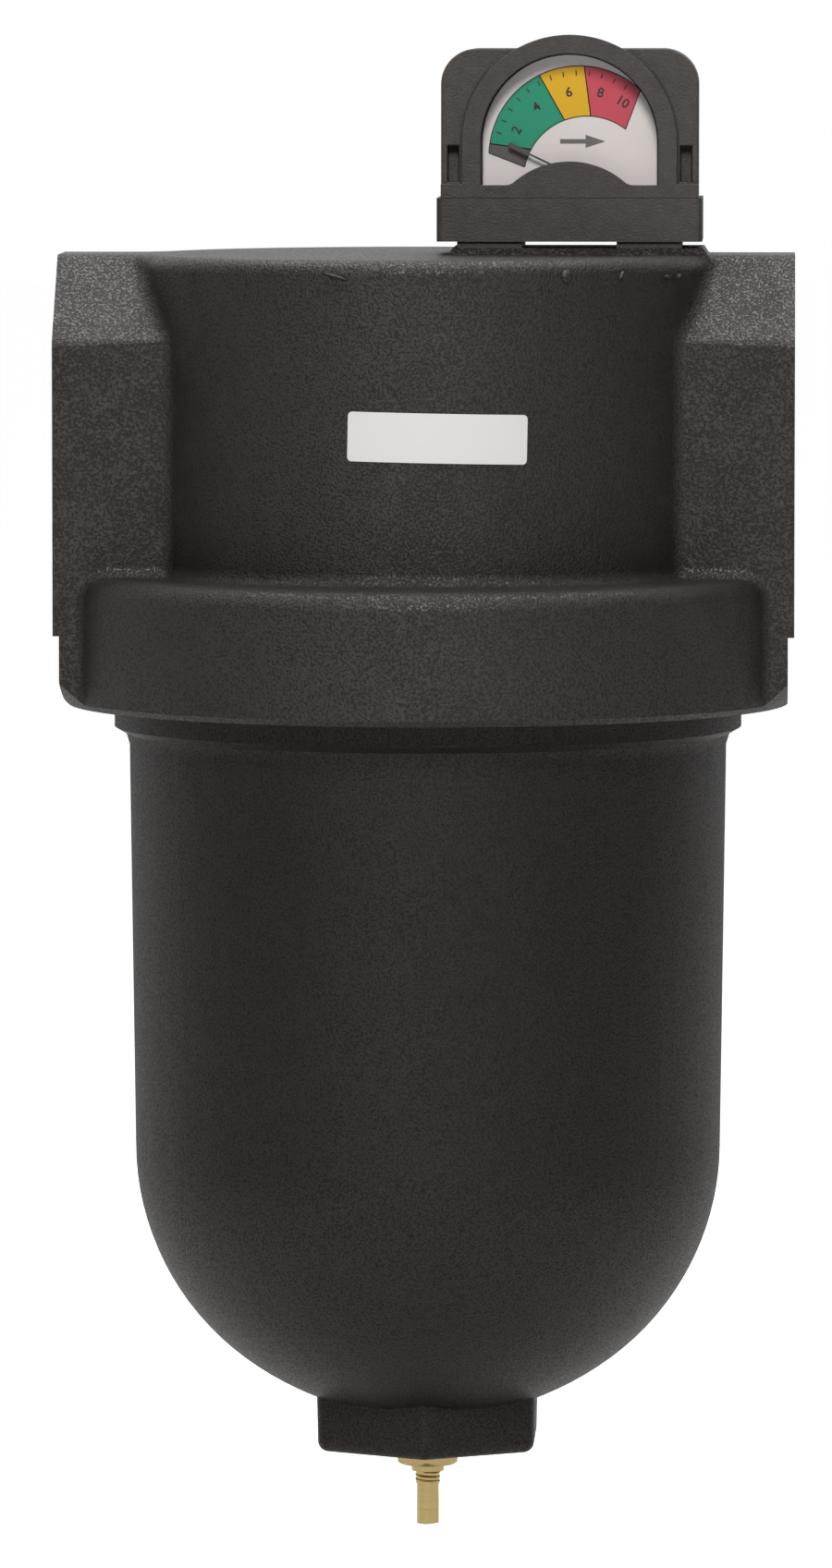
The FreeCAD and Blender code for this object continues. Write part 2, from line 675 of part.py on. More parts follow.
def tapered_boss():
    """The hexagon under the dome, lofted a little wider towards the dome, with round edges."""
    low = number(BOSS_LOW)
    height = number("dome_depth / 2")
    wires = []
    for level, flats in ((low, "boss_flats"), (low + height, "boss_flats + 2 * boss_flare")):
        reach = number(f"({flats}) / sqrt(3)")
        corners = []
        for k in range(7):
            angle = math.radians(30 + 60 * k)
            corners.append(FreeCAD.Vector(number(AXIS) + reach * math.cos(angle),
                                          reach * math.sin(angle), level))
        wires.append(Part.makePolygon(corners))
    solid = Part.makeLoft(wires, True, True)
    upright = [e for e in solid.Edges if abs(e.tangentAt(e.FirstParameter).z) > 0.9]
    solid = solid.makeFillet(number("boss_corner"), upright)
    lower = [e for e in solid.Edges
             if all(abs(v.Point.z - low) < 0.01 for v in e.Vertexes)]
    return solid.makeFillet(number("boss_edge"), lower)


def make_element():
    """The filter element: end caps, two cages, pleated paper and a foam sleeve."""
    rim_inner = "cap_radius - cap_wall"
    gasket_inner = "tube_bore + (tube_wall - gasket_width) / 2"
    piece(turned(
        "upper_gasket",
        (gasket_inner, CAP_TOP),
        (f"{gasket_inner} + gasket_width", CAP_TOP),
        (f"{gasket_inner} + gasket_width", "0 - tube_drop"),
        (gasket_inner, "0 - tube_drop"),
   ), "element_upper_gasket")
    core_inner = "core_radius - cage_wall"
    piece(turned(
        "upper_cap",
        (core_inner, MEDIA_TOP),
        (rim_inner, MEDIA_TOP),
        (rim_inner, f"{MEDIA_TOP} - cap_rim"),
        ("cap_radius", f"{MEDIA_TOP} - cap_rim"),
        ("cap_radius", CAP_TOP),
        (core_inner, CAP_TOP),
   ), "element_upper_cap")
    piece(turned(
        "lower_cap",
        ("rod_radius + rod_slack", CAP_LOW),
        ("cap_radius", CAP_LOW),
        ("cap_radius", f"{MEDIA_LOW} + cap_rim"),
        (rim_inner, f"{MEDIA_LOW} + cap_rim"),
        (rim_inner, MEDIA_LOW),
        ("rod_radius + rod_slack", MEDIA_LOW),
   ), "element_lower_cap")
    piece(cage("inner_cage", "core_radius"), "element_inner_cage")
    piece(cage("outer_cage", "cage_radius"), "element_outer_cage")
    piece(turned(
        "foam_sleeve",
        ("cage_radius + sock_gap", MEDIA_LOW),
        ("cage_radius + sock_gap + sock_thick", MEDIA_LOW),
        ("cage_radius + sock_gap + sock_thick", MEDIA_TOP),
        ("cage_radius + sock_gap", MEDIA_TOP),
   ), "element_foam_sleeve")
    piece(pleats(), "element_pleats")


def cage(name, radius):
    """A tube with rows of square windows, cut by crossing bars."""
    tube = cut(
        name + "_tube",
        rod(name + "_outside", radius, "element_length", AXIS, "0", MEDIA_LOW),
        rod(name + "_bore", f"{radius} - cage_wall", "element_length + 2", AXIS, "0",
            f"{MEDIA_LOW} - 1"),
   )
    rows = int(number("cage_rows"))
    columns = int(number("cage_columns"))
    pitch = "(element_length - cage_rib) / cage_rows"
    window_half = f"({radius}) * sin(180 deg / cage_columns) * window_share"
    bars = []
    for row in range(rows):
        for column in range(columns // 2):
            bar = doc.addObject("Part::Box", f"{name}_bar")
            bar.Placement.Rotation = FreeCAD.Rotation(FreeCAD.Vector(0, 0, 1),
                                                      360.0 * (column + 0.5) / columns)
            bind(bar, Length=f"2 * ({radius}) + 2", Width=f"2 * {window_half}",
                 Height=f"{pitch} - cage_rib")
            turn = math.radians(360.0 * (column + 0.5) / columns)
            along = f"({radius} + 1)"
            side = f"({window_half})"
            place(bar,
                  f"{AXIS} - {along} * {math.cos(turn)} + {side} * {math.sin(turn)}",
                  f"0 - {along} * {math.sin(turn)} - {side} * {math.cos(turn)}",
                  f"{MEDIA_LOW} + cage_rib + {row} * {pitch}")
            bars.append(bar)
    return cut(name, tube, *bars)


def pleats():
    """The filter paper, folded to and fro between the two cages."""
    count = int(number("pleat_count"))
    inner = number("core_radius + pleat_gap")
    outer = number("cage_radius - cage_wall - pleat_gap")
    thick = number("pleat_thick")
    half_fold = math.pi / count

    def fold(shift):
        """One side of the folded sheet, a little outside or inside its middle line."""
        spots = []
        for k in range(2 * count):
            reach = (outer - thick if k % 2 else inner + thick) + shift
            spots.append(FreeCAD.Vector(reach * math.cos(k * half_fold),
                                        reach * math.sin(k * half_fold), 0))
        return Part.Face(Part.makePolygon(spots + [spots[0]]))

    folded = fold(thick).cut(fold(-thick))
    paper = doc.addObject("Part::Feature", "pleated_paper")
    paper.Shape = folded.extrude(FreeCAD.Vector(0, 0, number("element_length")))
    place(paper, AXIS, "0", MEDIA_LOW)
    return paper


def make_tie_rod():
    """The rod that holds the element up, with its gasket, washer and nut."""
    piece(rod("rod", "rod_radius", f"boss_low + rod_grip - 1 - {NUT_LOW} + rod_proud",
              AXIS, "0", f"{NUT_LOW} - rod_proud"), "tie_rod")
    hole = "rod_radius + rod_slack"
    piece(turned("lower_gasket", (hole, WASHER_TOP), ("lower_gasket_radius", WASHER_TOP),
                 ("lower_gasket_radius", CAP_LOW), (hole, CAP_LOW)), "element_lower_gasket")
    piece(turned("plain_washer", (hole, NUT_TOP), ("washer_radius", NUT_TOP),
                 ("washer_radius", WASHER_TOP), (hole, WASHER_TOP)), "washer")
    blank = hexagon("nut_blank", "nut_flats", "nut_height", AXIS, "0", NUT_LOW)
    piece(cut("retaining_nut", blank,
              rod("nut_hole", hole, "nut_height + 2", AXIS, "0", f"{NUT_LOW} - 1")),
          "retaining_nut")


def make_bowl_ring():
    bed = "bowl_ring_bed + seal_slack"
    wall = "collar_radius + thread_gap - seal_slack"
    section = f"(({wall}) - ({bed})) / 2"
    level = "collar_height - head_drop - bowl_ring_drop - bowl_ring_groove / 2"
    piece(ring("bowl_ring", f"(({wall}) + ({bed})) / 2", section, AXIS, "0", level),
          "bowl_o_ring")


def make_drain():
    """The brass drain: a body screwed into the bowl, and a stem that is turned to open it."""
    bore = "stem_radius + seal_slack"
    flange_low = f"{BOSS_LOW} - drain_flange"
    collar_low = f"{BOSS_LOW} - drain_flange - drain_collar"
    shank_top = f"{BOSS_LOW} + drain_shank"
    shell = fuse(
        "drain_shell",
        hexagon("drain_hexagon", "drain_flats", "drain_flange", AXIS, "0", flange_low),
        rod("drain_shank_bar", "drain_shank_radius", "drain_shank", AXIS, "0", BOSS_LOW),
        rod("drain_collar_bar", "drain_collar_radius", "drain_collar", AXIS, "0", collar_low),
   )
    piece(cut("drain_body", shell,
              rod("drain_bore", bore, "drain_shank + drain_flange + drain_collar + 2",
                  AXIS, "0", f"{collar_low} - 1")), "drain_body")

    top = f"{shank_top} - 1"
    thread_low = f"{collar_low} - stem_thread"
    end_low = f"{collar_low} - stem_thread - stem_end"
    groove_top = f"{top} - stem_ring_down"
    groove_low = f"{top} - stem_ring_down - stem_ring_groove"
    bar = turned(
        "stem_bar",
        ("0", end_low),
        ("stem_end_radius", end_low),
        ("stem_end_radius", thread_low),
        ("stem_radius", thread_low),
        ("stem_radius", groove_low),
        ("stem_ring_bed", groove_low),
        ("stem_ring_bed", groove_top),
        ("stem_radius", groove_top),
        ("stem_radius", f"{top} - 1"),
        ("stem_radius - 1", top),
        ("0", top),
   )
    wide = "2 * stem_end_radius"
    flats = [
        box(f"stem_flat_{side}", wide, wide, "stem_end - 2", f"{AXIS} - stem_end_radius",
            near, f"{end_low} - 0.5")
        for side, near in (("front", "0 - stem_flat - 2 * stem_end_radius"),
                           ("rear", "stem_flat"))
    ]
    cross_at = f"{top} - stem_top"
    bore_hole = rod("stem_bore_hole", "stem_bore", f"{cross_at} - ({end_low}) + 1",
                    AXIS, "0", f"{end_low} - 1")
    cross_hole = rod("stem_cross_hole", "stem_bore", "2 * stem_radius + 2",
                     f"{AXIS} - stem_radius - 1", "0", cross_at, "x")
    piece(cut("drain_stem", bar, bore_hole, cross_hole, *flats), "drain_stem")
    bed = "stem_ring_bed + seal_slack"
    wall = f"{bore} - seal_slack"
    piece(ring("stem_ring", f"({wall} + {bed}) / 2", f"({wall} - ({bed})) / 2",
               AXIS, "0", f"{groove_low} + stem_ring_groove / 2"), "drain_stem_o_ring")


def make_gauge_base():
    """The base: a block with the piston's bore and two feet over the pressure holes."""
    block = box("base_block", "base_width", "2 * gauge_half", f"base_top - ({BASE_LOW})",
                f"{GAUGE} - base_width / 2", "0 - gauge_half", BASE_LOW)
    corners = rounded("base_rounded", block, "base_corner", is_upright)
    solids = [corners]
    tools = [rod("piston_bore", "cylinder_radius", "base_width / 2 + cylinder_start + 1",
                 f"{GAUGE} - cylinder_start", "0 - sense_forward", "cylinder_height", "x")]
    seals = []
    screws = []
    for side, sign in (("inlet", "-"), ("outlet", "+")):
        at = f"{GAUGE} {sign} foot_offset"
        solids.append(box(f"{side}_foot", "foot_width", "2 * foot_half", "base_lift + 1",
                          f"{at} - foot_width / 2", "0 - foot_half", "pad_top"))
        tools.append(rod(f"{side}_pressure_hole", "sense_radius",
                         "cylinder_height - pad_top + 1", at, "0 - sense_forward",
                         "pad_top - 1"))
        well = rod(f"{side}_seal_well", "foot_ring_radius + foot_ring_section",
                   "2 * foot_ring_section + 1", at, "0 - sense_forward", "pad_top - 1")
        post = rod(f"{side}_seal_post", "foot_ring_radius - foot_ring_section",
                   "2 * foot_ring_section + 3", at, "0 - sense_forward", "pad_top - 2")
        tools.append(cut(f"{side}_seal_groove", well, post))
        seals.append(ring(f"{side}_foot_ring", "foot_ring_radius",
                          "foot_ring_section", at, "0 - sense_forward",
                          "pad_top + foot_ring_section"))
        for row, way in (("front", "0 -"), ("rear", "0 +")):
            name = f"{side}_{row}_screw"
            y = f"{way} screw_side"
            tools.append(rod(name + "_hole", "screw_radius + screw_slack",
                             "base_top - pad_top + 2", at, y, "pad_top - 1"))
            tools.append(rod(name + "_counterbore", "screw_head_radius + screw_slack",
                             "screw_head + 1", at, y, "base_top - screw_head"))
            screws.append(fuse(
                name,
                rod(name + "_shank", "screw_radius", "base_top - pad_top + screw_grip - 1",
                    at, y, "pad_top - screw_grip"),
                cut(name + "_head",
                    rod(name + "_cap", "screw_head_radius", "screw_head", at, y,
                        "base_top - screw_head"),
                    hexagon(name + "_socket", "screw_radius * 5 / 3", "screw_head", at, y,
                            "base_top - screw_head / 2")),
           ))
    piece(cut("gauge_base", fuse("base_solid", *solids), *tools), "gauge_base")
    for side, seal in zip(("inlet", "outlet"), seals):
        piece(seal, f"gauge_{side}_o_ring")
    group = doc.addObject("Part::Compound", "gauge_screw_group")
    group.Links = screws
    piece(group, "gauge_screws")


def is_upright(edge, middle):
    return abs(edge.tangentAt(edge.FirstParameter).z) > 0.99


def make_gauge_housing():
    """The moulded housing behind the window frame, hollow for the dial and the movement."""
    half = "housing_width / 2"
    round_off = f"{half} - housing_corner"
    back = "2 * gauge_half - frame_depth"
    face = "gauge_half - frame_depth"
    shoulders = plate(
        "housing_shoulders", face, back,
        (f"0 - {half}", "base_top"),
        (half, "base_top"),
        (half, "housing_top - housing_corner", round_off, "housing_top - housing_corner", 1),
        (round_off, "housing_top"),
        (f"0 - ({round_off})", "housing_top",
         f"0 - ({round_off})", "housing_top - housing_corner", 1),
        (f"0 - {half}", "housing_top - housing_corner"),
   )
    crown = plate("housing_crown", face, back, *arch("arch_radius - arch_step", "base_top"))
    dial_back = "gauge_half - dial_depth - dial_thick"
    tools = [
        plate("dial_chamber", f"{face} + 1", f"{face} + 1 - ({dial_back})",
              *arch("lens_radius + lens_slack", "base_top - 1")),
        plate("movement_well", f"{dial_back} + 1", "well_depth - dial_depth - dial_thick + 1",
              *arch("well_radius", "base_top - 1")),
        rod("axle_bearing", "axle_radius + seal_slack", "axle_grip + 1.5",
            f"{GAUGE} + pivot_offset", "well_depth - gauge_half - 1", "pivot_height", "y"),
    ]
    for side, sign in (("left", "-"), ("right", "+")):
        tools.append(box(f"{side}_clip_slot", "slot_width", "slot_depth + 1",
                         "slot_high - slot_low",
                         f"{GAUGE} {sign} slot_offset - slot_width / 2",
                         f"0 - ({face}) - 1", "slot_low"))
    piece(cut("gauge_housing", fuse("housing_solid", shoulders, crown), *tools),
          "gauge_housing")


def make_gauge_front():
    """The window frame with its hump, the clear window and the dial plate."""
    half = "housing_width / 2"
    frame = plate("frame_arch", "gauge_half", "frame_depth", *arch("arch_radius", "base_top"))
    ledge = plate(
        "frame_ledge", "gauge_half", "frame_depth",
        (f"0 - {half}", "base_top"), (half, "base_top"),
        (half, "base_top + frame_foot"), (f"0 - {half}", "base_top + frame_foot"),
   )
    window = plate("frame_window", "gauge_half + 1", "frame_depth + 2",
                   *arch("window_radius", "window_low"))
    sink = "(hump_top - hump_radius)"
    reach = f"sqrt(hump_radius ^ 2 - (window_low - {sink}) ^ 2)"
    hump = plate(
        "frame_hump", "gauge_half", "frame_depth",
        (f"0 - {reach}", "window_low"),
        (f"0 - {reach}", f"window_low - 1"),
        (reach, "window_low - 1"),
        (reach, "window_low", "0", sink, 1),
   )
    opened = fuse("frame_with_hump", cut("frame_opened", fuse("frame_flat", frame, ledge),
                                         window), hump)
    flared = rounded("frame_flared", opened, "hump_fillet", is_hump_end)
    bed = plate("lens_bed", "gauge_half - frame_depth + lens_thick", "lens_thick + 1",
                *arch("lens_radius + lens_slack", "base_top + 1"))
    piece(cut("gauge_window_frame", flared, bed), "gauge_window_frame")
    piece(plate("lens_plate", "gauge_half - frame_depth + lens_thick", "lens_thick",
                *arch("lens_radius", "base_top + 1 + lens_slack")), "gauge_lens")
    dial = plate("dial_blank", "gauge_half - dial_depth", "dial_thick",
                 *arch("lens_radius", "base_top + lens_slack"))
    piece(cut("dial_plate", dial,
              rod("dial_hole", "2 * axle_radius", "dial_thick + 2",
                  f"{GAUGE} + pivot_offset", "dial_depth - gauge_half - 1",
                  "pivot_height", "y")), "dial_plate")


def is_hump_end(edge, middle):
    """An edge where the hump runs out into the window's lower edge."""
    from_front = abs(middle.y + number("gauge_half - frame_depth / 2")) < 0.01
    at_foot = abs(middle.z - number("window_low")) < 0.01
    inside = abs(middle.x - number(GAUGE)) < number("window_radius") - 1
    return from_front and at_foot and inside


def make_pointer():
    """The pointer on its axle, with the magnet that the piston pulls round."""
    x = f"{GAUGE} + pivot_offset"
    neck = "pointer_length - pointer_blade"
    blade = start_body("pointer_body", x, "0", "pivot_height")
    sketch = sketch_on(blade, "XZ_Plane", "pointer_outline", "gauge_half - pointer_behind")
    outline(
        sketch,
        ("0", "0 - pointer_rod_half"),
        (neck, "0 - pointer_rod_half"),
        (f"{neck} + 1", "0 - pointer_blade_half"),
        ("pointer_length", "0 - pointer_blade_half"),
        ("pointer_length", "pointer_blade_half"),
        (f"{neck} + 1", "pointer_blade_half"),
        (neck, "pointer_rod_half"),
        ("0", "pointer_rod_half"),
   )
    strip = blade.newObject("PartDesign::Pad", "pointer_strip")
    strip.Profile = sketch
    strip.Reversed = True
    bind(strip, Length="pointer_thick")
    # the axis that the angle turns about
    blade.Placement.Rotation = FreeCAD.Rotation(FreeCAD.Vector(0, 1, 0), 0)
    bind(blade, Placement__Rotation__Angle="0 deg - pointer_angle * 1 deg")
    hub_y = "pointer_behind - gauge_half - (hub_thick - pointer_thick) / 2"
    hub = rod("pointer_hub", "hub_radius", "hub_thick", x, hub_y, "pivot_height", "y")
    hole = rod("pointer_hole", "axle_radius", "hub_thick + 4", x, f"{hub_y} - 2",
               "pivot_height", "y")
    piece(cut("pointer", fuse("pointer_solid", blade, hub), hole), "pointer")
    piece(rod("axle", "axle_radius", "well_depth + axle_grip - axle_front", x,
              "axle_front - gauge_half", "pivot_height", "y"), "pointer_axle")
    magnet_y = "0 - sense_forward - magnet_thick / 2"
    piece(cut("axle_magnet",
              rod("magnet_disc", "magnet_radius", "magnet_thick", x, magnet_y,
                  "pivot_height", "y"),
              rod("magnet_hole", "axle_radius", "magnet_thick + 2", x, f"{magnet_y} - 1",
                  "pivot_height", "y")), "pointer_magnet")


def make_piston():
    """The piston that the two pressures push, its magnet, its spring and the end plug."""
    y = "0 - sense_forward"
    z = "cylinder_height"
    body_radius = "cylinder_radius - seal_slack"
    nose_end = "piston_rest - cylinder_start"
    pocket_start = "piston_end - slug_length - slug_end"
    along_x = {"x": GAUGE, "y": y, "z": z, "about": "H_Axis"}
    piece(turned(
        "piston_blank",
        (nose_end, "0"),
        (pocket_start, "0"),
        (pocket_start, "piston_pocket"),
        ("piston_end", "piston_pocket"),
        ("piston_end", body_radius),
        ("0 - piston_start", body_radius),
        ("0 - piston_start", "piston_nose"),
        (nose_end, "piston_nose"),
        **along_x,
   ), "piston")
    piece(rod("slug", "piston_pocket - slug_slack", "slug_length",
              f"{GAUGE} + {pocket_start}", y, z, "x"), "piston_magnet")
    piece(make_spring(), "piston_spring")
    plug = turned(
        "plug_blank",
        ("plug_start", "0"),
        ("base_width / 2", "0"),
        ("base_width / 2", body_radius),
        ("plug_start + plug_ring_at + plug_ring_groove", body_radius),
        ("plug_start + plug_ring_at + plug_ring_groove", "plug_ring_bed"),
        ("plug_start + plug_ring_at", "plug_ring_bed"),
        ("plug_start + plug_ring_at", body_radius),
        ("plug_start", body_radius),
        **along_x,
   )
    slot = box("plug_driver_slot", "plug_slot + 1", "2 * cylinder_radius", "plug_slot",
               f"{GAUGE} + base_width / 2 - plug_slot", f"{y} - cylinder_radius",
               f"{z} - plug_slot / 2")
    piece(cut("gauge_end_plug", plug, slot), "gauge_end_plug")
    bed = "plug_ring_bed + seal_slack"
    wall = "cylinder_radius - seal_slack"
    piece(ring("plug_ring", f"({wall} + {bed}) / 2", f"({wall} - ({bed})) / 2",
               f"{GAUGE} + plug_start + plug_ring_at + plug_ring_groove / 2", y, z, "x"),
          "gauge_plug_o_ring")


def make_spring():
    """A coil spring between the piston and the plug, a wire's radius clear of each."""
    length = "plug_start - piston_end - 2 * spring_wire - 2 * spring_gap"
    coil = doc.addObject("Part::Helix", "spring_line")
    bind(coil, Radius="spring_radius", Height=length, Pitch=f"({length}) / spring_turns")
    wire = doc.addObject("Part::Circle", "spring_section")
    wire.Placement.Rotation = FreeCAD.Rotation(FreeCAD.Vector(1, 0, 0), 90)
    bind(wire, Radius="spring_wire", Placement__Base__x="spring_radius")
    spring = doc.addObject("Part::Sweep", "spring_coil")
    spring.Sections = [wire]
    spring.Spine = (coil, ["Edge1"])
    spring.Solid = True
    spring.Frenet = True
    spring.Placement.Rotation = FreeCAD.Rotation(FreeCAD.Vector(0, 1, 0), 90)
    place(spring, f"{GAUGE} + piston_end + spring_wire + spring_gap", "0 - sense_forward",
          "cylinder_height")
    return spring


def check_and_write():
    """Stop at anything that failed, then write one file for each piece."""
    doc.recompute()
    for thing in doc.Objects:
        if "Invalid" in thing.State or "Error" in thing.State:
            raise RuntimeError(f"{thing.Label} failed: {thing.State}")
    for thing in pieces:
        shape = thing.Shape
        if shape.isNull() or not shape.isValid() or not shape.Solids:
            raise RuntimeError(f"{thing.Label} is not a valid solid")
    os.makedirs("parts", exist_ok=True)
    for thing in pieces:
        thing.Shape.exportStep(f"parts/{thing.Label}.step")
        size = thing.Shape.BoundBox
        print(f"{thing.Label:24s} {len(thing.Shape.Solids)} solid "
              f"{thing.Shape.Volume / 1000:9.3f} cm3  "
              f"x {size.XMin:7.2f} {size.XMax:7.2f}  y {size.YMin:7.2f} {size.YMax:7.2f}  "
              f"z {size.ZMin:8.2f} {size.ZMax:8.2f}")


make_head()
make_bowl()
make_bowl_ring()
make_element()
make_tie_rod()
make_drain()
make_gauge_base()
make_gauge_housing()
make_gauge_front()
make_pointer()
make_piston()
check_and_write()
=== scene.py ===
"""Looks of the compressed air filter: coating, machined threads, gauge, dial, label, studio.

Metres, +Z up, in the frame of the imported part: the inlet port's face is at x = 0 on the
port axis, the bowl hangs on the vertical axis through the middle of the head, and the
dial faces -Y. Each operator makes one group of pieces; main() calls them in order.
"""
import math

import bmesh
import bpy
from mathutils import Matrix, Vector


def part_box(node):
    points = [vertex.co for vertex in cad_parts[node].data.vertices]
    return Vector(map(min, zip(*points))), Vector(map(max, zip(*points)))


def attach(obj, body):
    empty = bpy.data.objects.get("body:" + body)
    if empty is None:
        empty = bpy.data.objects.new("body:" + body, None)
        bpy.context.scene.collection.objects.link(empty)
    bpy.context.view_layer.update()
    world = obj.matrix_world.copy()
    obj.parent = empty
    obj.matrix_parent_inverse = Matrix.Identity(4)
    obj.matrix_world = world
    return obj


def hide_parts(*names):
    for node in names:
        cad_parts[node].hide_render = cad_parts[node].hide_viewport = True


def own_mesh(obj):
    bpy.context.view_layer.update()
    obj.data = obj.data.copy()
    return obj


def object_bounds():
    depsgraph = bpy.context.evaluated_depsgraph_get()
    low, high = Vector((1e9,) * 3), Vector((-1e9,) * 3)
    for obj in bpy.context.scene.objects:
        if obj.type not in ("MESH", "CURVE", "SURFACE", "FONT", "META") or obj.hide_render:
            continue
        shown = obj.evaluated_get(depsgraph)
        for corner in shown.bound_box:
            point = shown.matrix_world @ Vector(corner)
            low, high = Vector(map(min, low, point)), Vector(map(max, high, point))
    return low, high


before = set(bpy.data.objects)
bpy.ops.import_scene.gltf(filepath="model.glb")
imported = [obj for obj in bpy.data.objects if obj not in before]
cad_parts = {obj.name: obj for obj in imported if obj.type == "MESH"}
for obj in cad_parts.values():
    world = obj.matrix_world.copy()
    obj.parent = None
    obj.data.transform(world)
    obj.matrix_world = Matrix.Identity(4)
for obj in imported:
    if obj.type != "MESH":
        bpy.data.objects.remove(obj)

bl_info = {
    "name": "Compressed air filter looks",
    "version": (1, 0, 0),
    "blender": (4, 5, 0),
    "location": "3D View > Sidebar > Air filter",
    "description": "Makes the finished surfaces and small parts of a compressed air filter",
    "category": "Object",
}

MM = 0.001
CAD_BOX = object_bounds()
HEAD_LOW, HEAD_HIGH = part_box("head_casting")
BOWL_LOW, BOWL_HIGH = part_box("bowl")
BRASS_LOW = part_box("drain_body")[0]
DIAL_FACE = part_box("dial_plate")[0].y
AXIS_X = (HEAD_LOW.x + HEAD_HIGH.x) / 2
BOWL_RADIUS = (BOWL_HIGH.x - BOWL_LOW.x) / 2
PORT_RADIUS = 22.0 * MM
PORT_DEPTH = 25.0 * MM
STEM_CORE = 2.7 * MM
NECK_RADIUS = 65.0 * MM
BLOCK_HALF, BLOCK_FLAT = 32.5 * MM, 13.5 * MM
RECESS_TOP = -40.0 * MM
NEAR = 0.01 * MM


def linear(code):
    """An sRGB hex colour as linear RGBA."""
    parts = [int(code[i:i + 2], 16) / 255 for i in (1, 3, 5)]
    return (*[c / 12.92 if c <= 0.04045 else ((c + 0.055) / 1.055) ** 2.4 for c in parts], 1.0)


def length_property(name, description, default):
    """A length in metres, shown in the scene's unit."""
    return bpy.props.FloatProperty(name=name, description=description, default=default,
                                   min=0.0, subtype="DISTANCE", unit="LENGTH")


def angle_property(name, description, degrees):
    """An angle, given in degrees and kept in radians."""
    return bpy.props.FloatProperty(name=name, description=description,
                                   default=math.radians(degrees), subtype="ANGLE",
                                   unit="ROTATION")


def colour_property(name, description, code):
    """A linear colour with a default from its sRGB hex code."""
    return bpy.props.FloatVectorProperty(name=name, description=description, size=4, min=0.0,
                                         max=1.0, subtype="COLOR", default=linear(code))


class FilterSizes(bpy.types.PropertyGroup):
    """Sizes that a user might change."""

    pipe_pitch: length_property("Pipe thread pitch", "Pitch of the two port threads", 2.209 * MM)
    bowl_pitch: length_property("Bowl thread pitch", "Pitch of the bowl's thread", 2.117 * MM)
    stem_pitch: length_property("Drain thread pitch", "Pitch of the drain stem", 1.0 * MM)
    coat_grain: length_property("Coating grain", "Width of a pebble in the coating", 0.9 * MM)
    label_height: length_property("Label height", "Height of the bare label", 10.9 * MM)
    label_start: angle_property("Label start", "Left end of the label round the neck", -13.7)
    label_end: angle_property("Label end", "Right end of the label round the neck", 21.5)
    label_tilt: angle_property("Label tilt", "How far the label is stuck on askew", 1.2)


class FilterColours(bpy.types.PropertyGroup):
    """Colours that a user might change."""

    coat: colour_property("Coating", "Black textured coating of the head and bowl", "#18120f")
    case: colour_property("Gauge case", "Black moulded gauge case", "#393736")
    dial: colour_property("Dial", "Printed dial", "#ebe8ea")
    grey: colour_property("Grey zone", "First zone of the dial", "#5a5959")
    green: colour_property("Green zone", "Second zone of the dial", "#0e9a7a")
    yellow: colour_property("Yellow zone", "Third zone of the dial", "#e9b90c")
    red: colour_property("Red zone", "Last zone of the dial", "#ce4b5f")
    ink: colour_property("Ink", "Lines and numbers on the dial", "#1f1d1d")
    label: colour_property("Label", "Bare label on the neck", "#dbdce1")
    brass: colour_property("Brass", "Turned drain", "#c6b27a")


# pieces

def adjust(thing, **settings):
    """Set several attributes of a thing and give it back."""
    for name, value in settings.items():
        setattr(thing, name, value)
    return thing


def shift(x, y, z):
    """A move, as a matrix."""
    return Matrix.Translation((x, y, z))


def turn(degrees, axis):
    """A turn about an axis through the origin, as a matrix."""
    return Matrix.Rotation(math.radians(degrees), 4, axis)


def add_piece(name, data):
    """A new object at the origin for a finished mesh, a light or a camera."""
    made = bpy.data.objects.new(name, data)
    bpy.context.scene.collection.objects.link(made)
    return made


def mesh_of(made, name, *materials):
    """A bmesh as a finished mesh; the bmesh is freed."""
    mesh = bpy.data.meshes.new(name)
    made.to_mesh(mesh)
    made.free()
    for material in materials:
        mesh.materials.append(material)
    return mesh


def mesh_from(name, points, faces, *materials):
    """A mesh from its points and faces."""
    made = bpy.data.meshes.new(name)
    made.from_pydata([tuple(p) for p in points], [], [tuple(f) for f in faces])
    for material in materials:
        made.materials.append(material)
    made.update()
    return made


def shade_by_angle(mesh, degrees=30):
    """Shade a mesh smooth, apart from edges sharper than the given angle."""
    mesh.shade_smooth()
    mesh.set_sharp_from_angle(angle=math.radians(degrees))


def welded_copy(node, name, *finishes, flat_degrees=0.3, cut_height=None):
    """A piece made from a copy of a CAD node, with its triangles joined up.

    cut_height adds a ring of edges at that height, where one finish ends.
    """
    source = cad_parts[node].data
    mesh = mesh_from(name, [v.co for v in source.vertices], [f.vertices for f in source.polygons],
                     *[MATERIALS[finish] for finish in finishes])
    made = bmesh.new()
    made.from_mesh(mesh)
    bmesh.ops.remove_doubles(made, verts=made.verts, dist=0.002 * MM)
    bmesh.ops.dissolve_degenerate(made, edges=made.edges, dist=0.0005 * MM)
    bmesh.ops.dissolve_limit(made, angle_limit=math.radians(flat_degrees), verts=made.verts,
                             edges=made.edges, delimit={"NORMAL"})
    if cut_height is not None:
        bmesh.ops.bisect_plane(made, geom=[*made.verts, *made.edges, *made.faces],
                               plane_co=(0, 0, cut_height), plane_no=(0, 0, 1))
    made.to_mesh(mesh)
    made.free()
    shade_by_angle(mesh)
    return add_piece(name, mesh)


def bake_modifiers(piece):
    """Make a piece's modifiers part of its mesh."""
    bpy.context.view_layer.update()
    seen = piece.evaluated_get(bpy.context.evaluated_depsgraph_get())
    mesh = bpy.data.meshes.new_from_object(seen)
    piece.modifiers.clear()
    mesh.name = piece.name
    piece.data = mesh


def even_normals(piece):
    """Weight the normals by area, so that flats stay flat beside fillets."""
    adjust(piece.modifiers.new("flat faces", "WEIGHTED_NORMAL"), keep_sharp=True)


